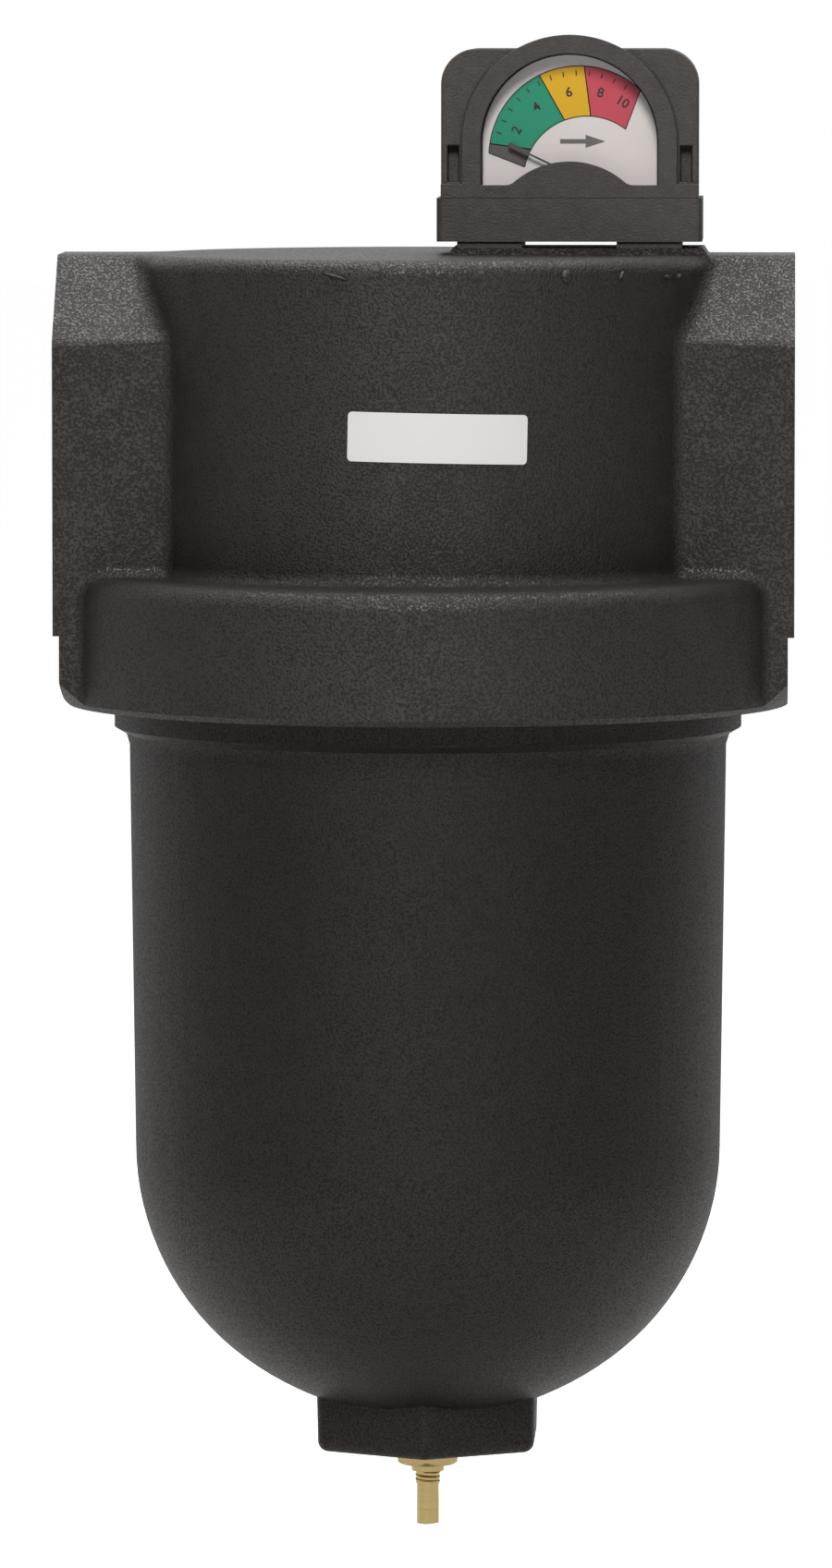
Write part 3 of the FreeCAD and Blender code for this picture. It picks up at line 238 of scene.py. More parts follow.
def round_edges(piece, width, degrees=40):
    """Rounds on a moulded piece's sharp edges."""
    adjust(piece.modifiers.new("moulded edges", "BEVEL"), width=width, segments=3,
           limit_method="ANGLE", angle_limit=math.radians(degrees))
    even_normals(piece)


def put_on(piece, body, slot, *nodes):
    """Attach a piece to its body and hide what it stands for; slot is not used."""
    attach(piece, body)
    if nodes:
        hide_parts(*nodes)


def paint_nodes(finish, *nodes):
    """Give CAD nodes that stay a better material."""
    for node in nodes:
        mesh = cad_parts[node].data
        mesh.materials.clear()
        mesh.materials.append(MATERIALS[finish])


def add_lumps(name, places, finish, body):
    """One piece of ellipsoids on the coat, each a ball of 1 mm radius under its matrix."""
    made = bmesh.new()
    for place in places:
        bmesh.ops.create_icosphere(made, subdivisions=3, radius=MM, matrix=place)
    mesh = mesh_of(made, name, MATERIALS[finish])
    mesh.shade_smooth()
    put_on(add_piece(name, mesh), body, "coated_casting")


# materials

def add_node(tree, kind, inputs=None, links=None, **settings):
    """Add one node: its settings, its sockets' values and the links into it.

    A link's source is an output socket, or a node whose first output is meant.
    """
    made = adjust(tree.nodes.new(kind), **settings)
    for socket, value in (inputs or {}).items():
        made.inputs[socket].default_value = value
    connect(made, links or {})
    return made


def connect(node, links):
    """Link sources, each an output socket or a node, to a node's input sockets."""
    for socket, source in links.items():
        if isinstance(source, bpy.types.Node):
            source = source.outputs[0]
        node.id_data.links.new(source, node.inputs[socket])


def start_material(name):
    """A material with its shader and output; also gives the object coordinates."""
    made = bpy.data.materials.new(name)
    made.use_nodes = True
    tree = made.node_tree
    tree.nodes.clear()
    shader = add_node(tree, "ShaderNodeBsdfPrincipled")
    add_node(tree, "ShaderNodeOutputMaterial", links={"Surface": shader})
    place = add_node(tree, "ShaderNodeTexCoord").outputs["Object"]
    return made, tree, shader, place


def tone(colour, share):
    """A colour made darker or lighter."""
    return (*[min(1.0, c * share) for c in colour[:3]], 1.0)


def grained(name, colour, roughness, grain, relief, spread=0.1, swing=0.06, stretch=(1, 1, 1),
            **sockets):
    """A surface whose colour, roughness and relief follow a grain of a real size.

    grain is its width and relief its height, in mm. stretch squeezes it along an axis, as
    lathe marks are. Other sockets of the shader are set by name, with _ for a space.
    """
    made, tree, shader, place = start_material(name)
    aligned = add_node(tree, "ShaderNodeMapping", {"Scale": stretch}, {"Vector": place})
    fine = add_node(tree, "ShaderNodeTexNoise", {"Scale": 1 / (grain * MM), "Detail": 2.0},
                    {"Vector": aligned})
    mottle = add_node(tree, "ShaderNodeTexNoise",
                      {"Scale": 1 / (6 * grain * MM), "Detail": 5.0, "Roughness": 0.7},
                      {"Vector": aligned})
    shade = add_node(tree, "ShaderNodeMix",
                     {6: tone(colour, 1 - spread), 7: tone(colour, 1 + spread)}, {0: mottle},
                     data_type="RGBA")
    gloss = add_node(tree, "ShaderNodeMapRange",
                     {"To Min": roughness - swing, "To Max": roughness + swing}, {"Value": fine})
    bump = add_node(tree, "ShaderNodeBump", {"Distance": relief * MM}, {"Height": fine})
    connect(shader, {"Base Color": shade.outputs[2], "Roughness": gloss, "Normal": bump})
    for socket, value in sockets.items():
        shader.inputs[socket.replace("_", " ")].default_value = value
    return made


def powder_coat(name, colour, grain, relief, dullest, glossiest, reflection):
    """Textured polyester powder on cast aluminium: pebbles with glossy tops, dull between; the
    valleys are painted darker in colour and reflection as shade.
    """
    made, tree, shader, place = start_material(name)
    pebbles = add_node(tree, "ShaderNodeTexNoise",
                       {"Scale": 1 / (0.7 * grain), "Detail": 2.5, "Roughness": 0.6,
                        "Distortion": 0.2}, {"Vector": place})
    cast = add_node(tree, "ShaderNodeTexNoise", {"Scale": 1 / (9 * MM), "Detail": 2.0},
                    {"Vector": place})
    raised = add_node(tree, "ShaderNodeMapRange", {"From Min": 0.4, "From Max": 0.6},
                      {"Value": pebbles}, interpolation_type="SMOOTHSTEP")
    patchy = add_node(tree, "ShaderNodeMapRange",
                      {"From Min": 0.35, "From Max": 0.65, "To Min": 0.65, "To Max": 1.0},
                      {"Value": cast})
    drift = add_node(tree, "ShaderNodeMix", {6: tone(colour, 0.8), 7: tone(colour, 1.2)},
                     {0: cast}, data_type="RGBA")
    # painted shade: the valleys between pebbles take a darker colour than the tops
    shown = add_node(tree, "ShaderNodeMix", {6: tone(colour, 0.8)},
                     {0: raised, 7: drift.outputs[2]}, data_type="RGBA")
    gloss = add_node(tree, "ShaderNodeMapRange", {"To Min": dullest, "To Max": glossiest},
                     {"Value": raised})
    ripple = add_node(tree, "ShaderNodeBump", {"Strength": 0.5, "Distance": 0.2 * MM},
                      {"Height": cast})
    bump = add_node(tree, "ShaderNodeBump", {"Distance": relief},
                    {"Height": raised, "Normal": ripple, "Strength": patchy})
    # painted shade and glint: reflection weaker in the valleys and stronger on the pebble tops
    reflection_shaded_in_pits = add_node(tree, "ShaderNodeMapRange",
                     {"To Min": 0.66 * reflection, "To Max": 1.2 * reflection},
                     {"Value": raised})
    connect(shader, {"Base Color": shown.outputs[2], "Roughness": gloss,
                     "Specular IOR Level": reflection_shaded_in_pits, "Normal": bump})
    return made


MATERIALS = {}


def make_materials(colours, sizes):
    """Every finish of the filter, by a short name."""
    MATERIALS.update({
        # sprayed thick on the sand-cast head: coarse pebbles, each with a small glint
        "coat": powder_coat("textured powder coat", colours.coat, 0.8 * sizes.coat_grain,
                            0.12 * MM, 0.62, 0.46, 0.66),
        # the bowl is a smoother casting, so its coat lies finer and its highlight is clearer
        "bowl_coat": powder_coat("fine textured powder coat", colours.coat,
                                 0.7 * sizes.coat_grain, 0.07 * MM, 0.54, 0.38, 0.38),
        # cut by a lathe: fine rings round the X axis, bright inside the dark ports
        "bare": grained("machined aluminium", linear("#a9a9a8"), 0.34, 0.35, 0.01,
                        stretch=(1, 0.06, 0.06), Metallic=1.0),
        # a spark-eroded mould and glass in the nylon leave a mottled satin grey-black
        "case": grained("moulded nylon", colours.case, 0.62, 0.5, 0.15, spread=0.6, swing=0.2),
        # nearly unseen from the front; it only dulls the dial a little and glints at its rim
        "lens": grained("clear polycarbonate", linear("#7d8080"), 0.08, 2, 0.002,
                        spread=0.02, swing=0.02, IOR=1.585, Alpha=0.03),
        # matt white ink, so that the zones beside it stay the only colours on the part
        "dial": grained("printed dial", colours.dial, 0.7, 0.3, 0.004, spread=0.02),
        # pale yellow metal with fine turning rings, light on the facets and dark beside them
        "brass": grained("turned brass", colours.brass, 0.25, 0.2, 0.01,
                         stretch=(0.05, 0.05, 1), Metallic=1.0),
        # dull black with a faint bloom, darker than every coat round it
        "rubber": grained("nitrile rubber", linear("#1d1c1c"), 0.55, 0.3, 0.006),
        # cool blue-white metal that marks rod, nut and screws as fasteners
        "steel": grained("zinc plated steel", linear("#b4b5b6"), 0.3, 0.3, 0.006, Metallic=1.0),
        # milky and soft-edged, as unfilled nylon lets a little light in
        "nylon": grained("natural nylon", linear("#b9bbb8"), 0.48, 0.4, 0.008,
                         Subsurface_Weight=0.1),
        # open cells that read as dark pits in a yellowed foam
        "foam": grained("open polyester foam", linear("#a6986c"), 0.9, 0.9, 0.25, spread=0.25),
        # warm off-white fibres, quite matt, so that only the folds show
        "paper": grained("pleated filter paper", linear("#ded9c8"), 0.85, 0.3, 0.02, spread=0.05),
        # a shade lighter than the case, so that the pointer shows before the grey zone
        "pointer": grained("black moulded pointer", linear("#454341"), 0.45, 0.3, 0.004),
        # sintered grey with a weak metal sheen
        "magnet": grained("sintered magnet", linear("#77777a"), 0.4, 0.15, 0.004, Metallic=1.0),
        # brighter than the castings, with rings round the piston's own axis
        "turned": grained("turned aluminium", linear("#b9babb"), 0.28, 0.2, 0.006,
                          stretch=(1, 0.06, 0.06), Metallic=1.0),
        # cool white film, the brightest spot on the dark neck, with a soft sheen
        "label": grained("label film", colours.label, 0.42, 0.5, 0.006, spread=0.015),
        # the flow arrow's mid grey, softer than the lines
        "arrow": grained("grey print", linear("#6b6868"), 0.5, 0.3, 0.003, spread=0.03),
        # thin dark lines that hold the coloured zones together
        "ink": grained("black print", colours.ink, 0.5, 0.3, 0.003, spread=0.03),
    })
    # matt screen print: flat, even colours
    for zone in ("grey", "green", "yellow", "red"):
        MATERIALS[zone] = grained(f"{zone} print", getattr(colours, zone), 0.7, 0.3, 0.003,
                                  spread=0.02)


# what repeats: trees for screw threads, marks on an arc and specks in a coat

def start_tree(name, sockets):
    """A Geometry Nodes tree with named inputs, each (name, kind, default), and a material."""
    tree = bpy.data.node_groups.new(name, "GeometryNodeTree")
    for label, kind, default in (*sockets, ("Material", "Material", None)):
        made = tree.interface.new_socket(label, in_out="INPUT", socket_type="NodeSocket" + kind)
        if default is not None:
            made.default_value = default
    tree.interface.new_socket("Geometry", in_out="OUTPUT", socket_type="NodeSocketGeometry")
    return tree, add_node(tree, "NodeGroupInput").outputs


def end_tree(tree, geometry, material):
    """Close a tree: real geometry with its material."""
    real = add_node(tree, "GeometryNodeRealizeInstances", links={"Geometry": geometry})
    done = add_node(tree, "GeometryNodeSetMaterial",
                    links={"Geometry": real, "Material": material})
    add_node(tree, "NodeGroupOutput", links={"Geometry": done})
    return tree


def thread_tree():
    """One ridge wound round Z: a spiral with a four-cornered section."""
    tree, given = start_tree("screw thread", (
        ("Turns", "Float", 5.0), ("Length", "Float", 0.01), ("Start Radius", "Float", 0.02),
        ("End Radius", "Float", 0.02), ("Ridge", "Float", 0.0008), ("Steps", "Int", 64)))
    spiral = add_node(tree, "GeometryNodeCurveSpiral", links={
        "Resolution": given["Steps"], "Rotations": given["Turns"], "Height": given["Length"],
        "Start Radius": given["Start Radius"], "End Radius": given["End Radius"]})
    upright = add_node(tree, "GeometryNodeSetCurveNormal", links={"Curve": spiral}, mode="Z_UP")
    section = add_node(tree, "GeometryNodeCurvePrimitiveCircle", {"Resolution": 4},
                       {"Radius": given["Ridge"]})
    ridge = add_node(tree, "GeometryNodeCurveToMesh", {"Fill Caps": True},
                     {"Curve": upright, "Profile Curve": section})
    flat = add_node(tree, "GeometryNodeSetShadeSmooth", {"Shade Smooth": False},
                    {"Geometry": ridge})
    return end_tree(tree, flat, given["Material"])


def marks_tree():
    """Small bars on an arc in the XY plane, each pointing at its centre."""
    tree, given = start_tree("dial marks", (
        ("Count", "Int", 9), ("Radius", "Float", 0.02), ("Start", "Float", 0.0),
        ("Sweep", "Float", 1.0), ("Bar", "Vector", (0.001, 0.0002, 0.00002))))
    arc = add_node(tree, "GeometryNodeCurveArc", {"Resolution": 64}, {
        "Radius": given["Radius"], "Start Angle": given["Start"], "Sweep Angle": given["Sweep"]})
    spots = add_node(tree, "GeometryNodeResampleCurve",
                     links={"Curve": arc, "Count": given["Count"]})
    tangent = add_node(tree, "GeometryNodeInputTangent")
    along = add_node(tree, "FunctionNodeAlignEulerToVector", links={"Vector": tangent},
                     axis="Y", pivot_axis="Z")
    bar = add_node(tree, "GeometryNodeMeshCube", links={"Size": given["Bar"]})
    bars = add_node(tree, "GeometryNodeInstanceOnPoints",
                    links={"Points": spots, "Instance": bar, "Rotation": along})
    return end_tree(tree, bars, given["Material"])


def nibs_tree():
    """Specks that a coat leaves on the outside of a casting, each a low dome."""
    tree, given = start_tree("coat nibs", (
        ("Surface", "Object", None), ("Density", "Float", 1000.0), ("Size", "Float", 0.0003),
        ("Seed", "Int", 1), ("Middle", "Vector", (0.0, 0.0, 0.0))))
    source = add_node(tree, "GeometryNodeObjectInfo", links={"Object": given["Surface"]})
    spot = add_node(tree, "GeometryNodeInputPosition")
    normal = add_node(tree, "GeometryNodeInputNormal")
    outwards = add_node(tree, "ShaderNodeVectorMath", links={0: spot, 1: given["Middle"]},
                        operation="SUBTRACT")
    facing = add_node(tree, "ShaderNodeVectorMath", links={0: outwards, 1: normal},
                      operation="DOT_PRODUCT")
    outside = add_node(tree, "ShaderNodeMath", {1: 0.02}, {0: facing.outputs["Value"]},
                       operation="GREATER_THAN")
    coated = add_node(tree, "GeometryNodeMaterialSelection", links={"Material": given["Material"]})
    wanted = add_node(tree, "FunctionNodeBooleanMath", links={0: outside, 1: coated},
                      operation="AND")
    spots = add_node(tree, "GeometryNodeDistributePointsOnFaces", links={
        "Mesh": source.outputs["Geometry"], "Selection": wanted,
        "Density": given["Density"], "Seed": given["Seed"]})
    speck = add_node(tree, "GeometryNodeMeshIcoSphere", {"Subdivisions": 2},
                     {"Radius": given["Size"]})
    low = add_node(tree, "GeometryNodeTransform", {"Scale": (1, 1, 0.5)}, {"Geometry": speck})
    sizes = add_node(tree, "FunctionNodeRandomValue", {2: 0.35, 3: 1.0}, {"Seed": given["Seed"]},
                     data_type="FLOAT")
    specks = add_node(tree, "GeometryNodeInstanceOnPoints", links={
        "Points": spots, "Instance": low, "Rotation": spots.outputs["Rotation"],
        "Scale": sizes.outputs[1]})
    soft = add_node(tree, "GeometryNodeSetShadeSmooth", links={"Geometry": specks})
    return end_tree(tree, soft, given["Material"])


def grow(name, tree, place=Matrix(), **inputs):
    """Run a tree on an empty mesh and keep its result as a plain mesh, put in place."""
    holder = add_piece(name, bpy.data.meshes.new(name + "_empty"))
    modifier = holder.modifiers.new("grow", "NODES")
    modifier.node_group = tree
    for item in tree.interface.items_tree:
        key = item.name.replace(" ", "_").lower()
        if item.in_out == "INPUT" and key in inputs:
            modifier[item.identifier] = inputs[key]
    bake_modifiers(holder)
    holder.data.transform(place)
    return holder


def add_nibs(name, casting, body, finish, height, **settings):
    """Specks on a casting's outside; one that would pass the object's box is left out."""
    nibs = grow(name, nibs_tree(), surface=casting, middle=(AXIS_X, 0, height),
                material=MATERIALS[finish], **settings)
    low, high = CAD_BOX
    made = bmesh.new()
    made.from_mesh(nibs.data)
    waiting = [p for p in made.verts
               if any(p.co[i] < low[i] or p.co[i] > high[i] for i in range(3))]
    found = set(waiting)
    while waiting:
        for edge in waiting.pop().link_edges:
            new = set(edge.verts) - found
            found |= new
            waiting += new
    bmesh.ops.delete(made, geom=list(found), context="VERTS")
    made.to_mesh(nibs.data)
    made.free()
    put_on(nibs, body, "coated_casting")


# flat print on the dial

def flat_strip(first, second, y, finish):
    """A flat strip at depth y between two rows of points (x, z) in mm, facing the front."""
    points = [(x * MM, y, z * MM) for x, z in (*first, *second)]
    count = len(first)
    faces = [(i, i + 1, count + i + 1, count + i) for i in range(count - 1)]
    mesh = mesh_from("strip", points, faces, MATERIALS[finish])
    face_front(mesh)
    return mesh


def face_front(mesh):
    """Turn every flat face towards -Y."""
    mesh.update()
    for face in mesh.polygons:
        if face.normal.y > 0:
            face.flip()
    mesh.update()


def arc_points(centre, radius, start, end, count):
    """Points (x, z) on an arc, angles in degrees from +X towards +Z."""
    spots = []
    for i in range(count):
        angle = math.radians(start + (end - start) * i / (count - 1))
        spots.append((centre[0] + radius * math.cos(angle), centre[1] + radius * math.sin(angle)))
    return spots


def joined(name, meshes):
    """One piece from several meshes of one material each."""
    made = bmesh.new()
    materials = []
    for mesh in meshes:
        material = mesh.materials[0]
        if material not in materials:
            materials.append(material)
        start = len(made.faces)
        made.from_mesh(mesh)
        made.faces.ensure_lookup_table()
        for face in made.faces[start:]:
            face.material_index = materials.index(material)
    return add_piece(name, mesh_of(made, name, *materials))


# the studio

CAMERA_LENS = 228.3
CAMERA_SPOT = Vector((0.0782, -2.2386, 0.0886))
CAMERA_AIM = Vector((-0.0027, 0.0, -0.0873))
FLOOR_DROP = 0.05
FLOOR_HALF = 12.0
FLOOR_GLOW = 0.79


def add_light(name, spot, aim, width, depth, power, colour="#ffffff"):
    """A soft rectangular light that points at a place."""
    lamp = adjust(bpy.data.lights.new(name, "AREA"), shape="RECTANGLE", size=width,
                  size_y=depth, energy=power, color=linear(colour)[:3])
    place_at(add_piece(name, lamp), spot, aim)


def place_at(thing, spot, aim):
    """Put a light or the camera at a spot and turn it to another."""
    thing.location = spot
    thing.rotation_euler = (Vector(aim) - Vector(spot)).to_track_quat("-Z", "Y").to_euler()


class AIRFILTER_OT_stage(bpy.types.Operator):
    """Make the camera, the pale floor, the white surroundings and the soft lights"""

    bl_idname = "airfilter.stage"
    bl_label = "Stage"

    def execute(self, context):
        scene = context.scene
        scene.view_settings.view_transform = "Standard"
        middle = Vector((AXIS_X, 0, 0))
        lens = adjust(bpy.data.cameras.new("camera"), sensor_fit="VERTICAL", sensor_height=36,
                      sensor_width=36, lens=CAMERA_LENS, clip_end=100)
        scene.camera = add_piece("camera", lens)
        place_at(scene.camera, middle + CAMERA_SPOT, middle + CAMERA_AIM)
        self.make_floor(middle)
        self.make_surroundings(scene)
        add_light("top softbox", (AXIS_X, 0.1, 1.2), middle, width=1.2, depth=1.0, power=21)
        add_light("front softbox", (AXIS_X + 0.02, -2.15, 1.25), (AXIS_X, 0, -0.05), width=0.6,
                  depth=0.8, power=44, colour="#fff8f1")
        return {"FINISHED"}

    def make_floor(self, middle):
        """A wide white floor that shows white to the camera and keeps the shadow."""
        level = CAD_BOX[0][2] - FLOOR_DROP
        corners = [(middle.x + x * FLOOR_HALF, y * FLOOR_HALF, level)
                   for x, y in ((-1, -1), (1, -1), (1, 1), (-1, 1))]
        made, tree, shader, _ = start_material("white studio floor")
        shader.inputs["Base Color"].default_value = linear("#d8d8d8")
        shader.inputs["Roughness"].default_value = 0.9
        shader.inputs["Emission Color"].default_value = (1, 1, 1, 1)
        seen = add_node(tree, "ShaderNodeLightPath")
        glow = add_node(tree, "ShaderNodeMapRange", {"To Max": FLOOR_GLOW},
                        {"Value": seen.outputs["Is Camera Ray"]})
        connect(shader, {"Emission Strength": glow})
        floor = add_piece("floor", mesh_from("floor", corners, [(0, 1, 2, 3)], made))

    def make_surroundings(self, scene):
        """White for the camera and glass; for other rays dimmer, and dim in front."""
        world = bpy.data.worlds.new("white tent")
        scene.world = world
        world.use_nodes = True
        tree = world.node_tree
        tree.nodes.clear()
        way = add_node(tree, "ShaderNodeTexCoord")
        behind = add_node(tree, "ShaderNodeVectorMath", {1: (-0.15, 0.95, 0)},
                          {0: way.outputs["Generated"]}, operation="DOT_PRODUCT")
        tent = add_node(tree, "ShaderNodeMapRange", {"From Min": 0.2, "From Max": 0.65},
                        {"Value": behind.outputs["Value"]}, interpolation_type="SMOOTHSTEP")
        path = add_node(tree, "ShaderNodeLightPath")
        sharp = add_node(tree, "ShaderNodeMath", links={0: path.outputs["Is Camera Ray"],
                                                        1: path.outputs["Is Transmission Ray"]},
                         operation="MAXIMUM")
        strength = add_node(tree, "ShaderNodeMix", {3: 1.0}, {0: sharp, 2: tent})
        glow = add_node(tree, "ShaderNodeBackground", {"Color": (1, 1, 1, 1)},
                        {"Strength": strength})
        add_node(tree, "ShaderNodeOutputWorld", links={"Surface": glow})


# the casting and the bowl

# the coat's specks: how many on a square metre, the radius of the largest, and the seed
HEAD_NIBS = {"density": 1400.0, "size": 0.22 * MM, "seed": 4}
BOWL_NIBS = {"density": 2200.0, "size": 0.24 * MM, "seed": 7}
# marks on the neck's top edge, in mm: across, height, half width, half height, lean in degrees
CASTING_MARKS = ((32.3, 28.8, 1.3, 1.5, 10), (44.0, 28.8, 0.4, 1.2, 35),
                 (54.0, 28.2, 1.1, 0.5, 20), (56.5, 28.2, 0.7, 0.6, -30),
                 (-18.0, 29.0, 3.0, 0.35, 15))
MARK_HEIGHT = 0.9


class AIRFILTER_OT_head(bpy.types.Operator):
    """Make the coated head casting with its machined ports and recess"""

    bl_idname = "airfilter.head"
    bl_label = "Head casting"

    def execute(self, context):
        head = welded_copy("head_casting", "coated_head", "coat", "bare")
        for face in head.data.polygons:
            if self.is_machined(face.center):
                face.material_index = 1
        self.round_block_edges(head)
        self.make_casting_marks()
        add_nibs("head_nibs", head, "head", "coat", 0, **HEAD_NIBS)
        put_on(head, "head", "coated_casting", "head_casting")
        return {"FINISHED"}

    def is_machined(self, spot):
        """Inside a port's thread, or in the recess that takes the bowl."""
        from_face = min(spot.x - HEAD_LOW.x, HEAD_HIGH.x - spot.x)
        in_port = math.hypot(spot.y, spot.z) < PORT_RADIUS + 0.3 * MM and from_face < PORT_DEPTH
        from_axis = math.hypot(spot.x - AXIS_X, spot.y)
        in_recess = from_axis < BOWL_RADIUS + 0.6 * MM and spot.z < RECESS_TOP
        return (in_port and from_face > NEAR) or in_recess

    def round_block_edges(self, head):
        """Soften the port blocks' edges, which the coat covers thickly."""
        weights = head.data.attributes.new("bevel_weight_edge", "FLOAT", "EDGE")
        for edge in head.data.edges:
            ends = [head.data.vertices[i].co for i in edge.vertices]
            along = abs(ends[0].x - ends[1].x) > 0.5 * MM
            if along and all(self.on_block_corner(p) for p in ends):
                weights.data[edge.index].value = 1.0
        adjust(head.modifiers.new("coated edges", "BEVEL"), width=1.0 * MM, segments=3,
               limit_method="WEIGHT", use_clamp_overlap=False)
        even_normals(head)

    def on_block_corner(self, spot):
        """Whether a point lies on one of the octagonal block's eight edges."""
        large, small = sorted((abs(spot.y), abs(spot.z)), reverse=True)
        return abs(large - BLOCK_HALF) < 2 * NEAR and abs(small - BLOCK_FLAT) < 2 * NEAR

    def make_casting_marks(self):
        """Low rounded marks that the casting keeps along the top edge of its neck."""
        places = []
        for across, high, wide, tall, lean in CASTING_MARKS:
            around = math.degrees(math.asin(across * MM / NECK_RADIUS))
            places.append(shift(AXIS_X, 0, high * MM) @ turn(around, "Z")
                          @ shift(0, -NECK_RADIUS, 0) @ turn(lean, "Y")
                          @ Matrix.Diagonal((wide, MARK_HEIGHT, tall, 1)))
        add_lumps("casting_marks", places, "coat", "head")


# the scratch low on the bowl: its middle, then each part's shift and half length in mm
SCRATCH_SPOT = (56.6 * MM, -58.6 * MM, -198.4 * MM)
SCRATCH_PARTS = ((0.0, 3.2), (-1.9, 1.2))


class AIRFILTER_OT_bowl(bpy.types.Operator):
    """Make the coated bowl with its machined collar"""

    bl_idname = "airfilter.bowl"
    bl_label = "Bowl"

    def execute(self, context):
        bowl = welded_copy("bowl", "coated_bowl", "bowl_coat", "bare", cut_height=HEAD_LOW.z)
        for face in bowl.data.polygons:
            if face.center.z > HEAD_LOW.z + NEAR:
                face.material_index = 1
        even_normals(bowl)
        add_nibs("bowl_nibs", bowl, "bowl", "bowl_coat", (BOWL_LOW.z + BOWL_HIGH.z) / 2,
                 **BOWL_NIBS)
        put_on(bowl, "bowl", "coated_casting", "bowl")
        self.make_scratch()
        return {"FINISHED"}

    def make_scratch(self):
        """A short scar with a raised lip, low on the bowl's front."""
        place = shift(*SCRATCH_SPOT) @ turn(-24, "Z") @ turn(-28, "X") @ turn(4, "Y")
        places = [place @ shift(along * MM, 0, 0) @ Matrix.Diagonal((wide, 0.3, 0.14, 1))
                  for along, wide in SCRATCH_PARTS]
        add_lumps("bowl_scratch", places, "bowl_coat", "bowl")


# a ridge's reach as a share of its thread's pitch, how far the port threads narrow inwards,
# and where the bowl's and the stem's threads run
RIDGE_SHARE, STEM_RIDGE_SHARE = 0.36, 0.26
PORT_TAPER = 0.3 * MM
COLLAR_RADIUS = BOWL_RADIUS - 0.6 * MM
COLLAR_LOW, COLLAR_HIGH = HEAD_LOW.z + 1.5 * MM, BOWL_HIGH.z - 10.4 * MM
STEM_THREAD, STEM_TOP = 2.3 * MM, BRASS_LOW.z - 0.1 * MM


def wind(name, tree, place, pitch, length, radius, steps, taper=0.0, finish="bare",
         share=RIDGE_SHARE):
    """One thread of a given pitch and length, wound along Z and put in place."""
    return grow(name, tree, place, turns=length / pitch, length=length, steps=steps,
                ridge=share * pitch, start_radius=radius, end_radius=radius - taper,
                material=MATERIALS[finish])


class AIRFILTER_OT_threads(bpy.types.Operator):
    """Cut the threads of both ports, the bowl's collar and the drain stem"""

    bl_idname = "airfilter.threads"
    bl_label = "Threads"

    def execute(self, context):
        sizes = context.scene.filter_sizes
        tree = thread_tree()
        ridge = RIDGE_SHARE * sizes.pipe_pitch
        length = PORT_DEPTH - 3 * ridge
        for name, face_x, way in (("inlet_thread", HEAD_LOW.x, 1),
                                  ("outlet_thread", HEAD_HIGH.x, -1)):
            place = shift(face_x + way * 1.2 * ridge, 0, 0) @ turn(way * 90, "Y")
            thread = wind(name, tree, place, sizes.pipe_pitch, length, PORT_RADIUS, 72,
                          PORT_TAPER)
            put_on(thread, "head", "coated_casting")
        collar = wind("bowl_thread", tree, shift(AXIS_X, 0, COLLAR_LOW), sizes.bowl_pitch,
                      COLLAR_HIGH - COLLAR_LOW, COLLAR_RADIUS, 128)
        put_on(collar, "bowl", "coated_casting")
        stem = wind("stem_thread", tree, shift(AXIS_X, 0, STEM_TOP - STEM_THREAD),
                    sizes.stem_pitch, STEM_THREAD, STEM_CORE, 48, finish="brass",
                    share=STEM_RIDGE_SHARE)
        put_on(stem, "drain_stem", "drain_brass")
        return {"FINISHED"}


# the drain: where the stem is cut, and the cone that turns the hexagon's lower corners
STEM_CUT = BRASS_LOW.z + 0.3 * MM
CONE_RISE, CONE_REACH, CONE_TOP, CONE_STEPS = math.radians(35), 0.5 * MM, 50.0 * MM, 72


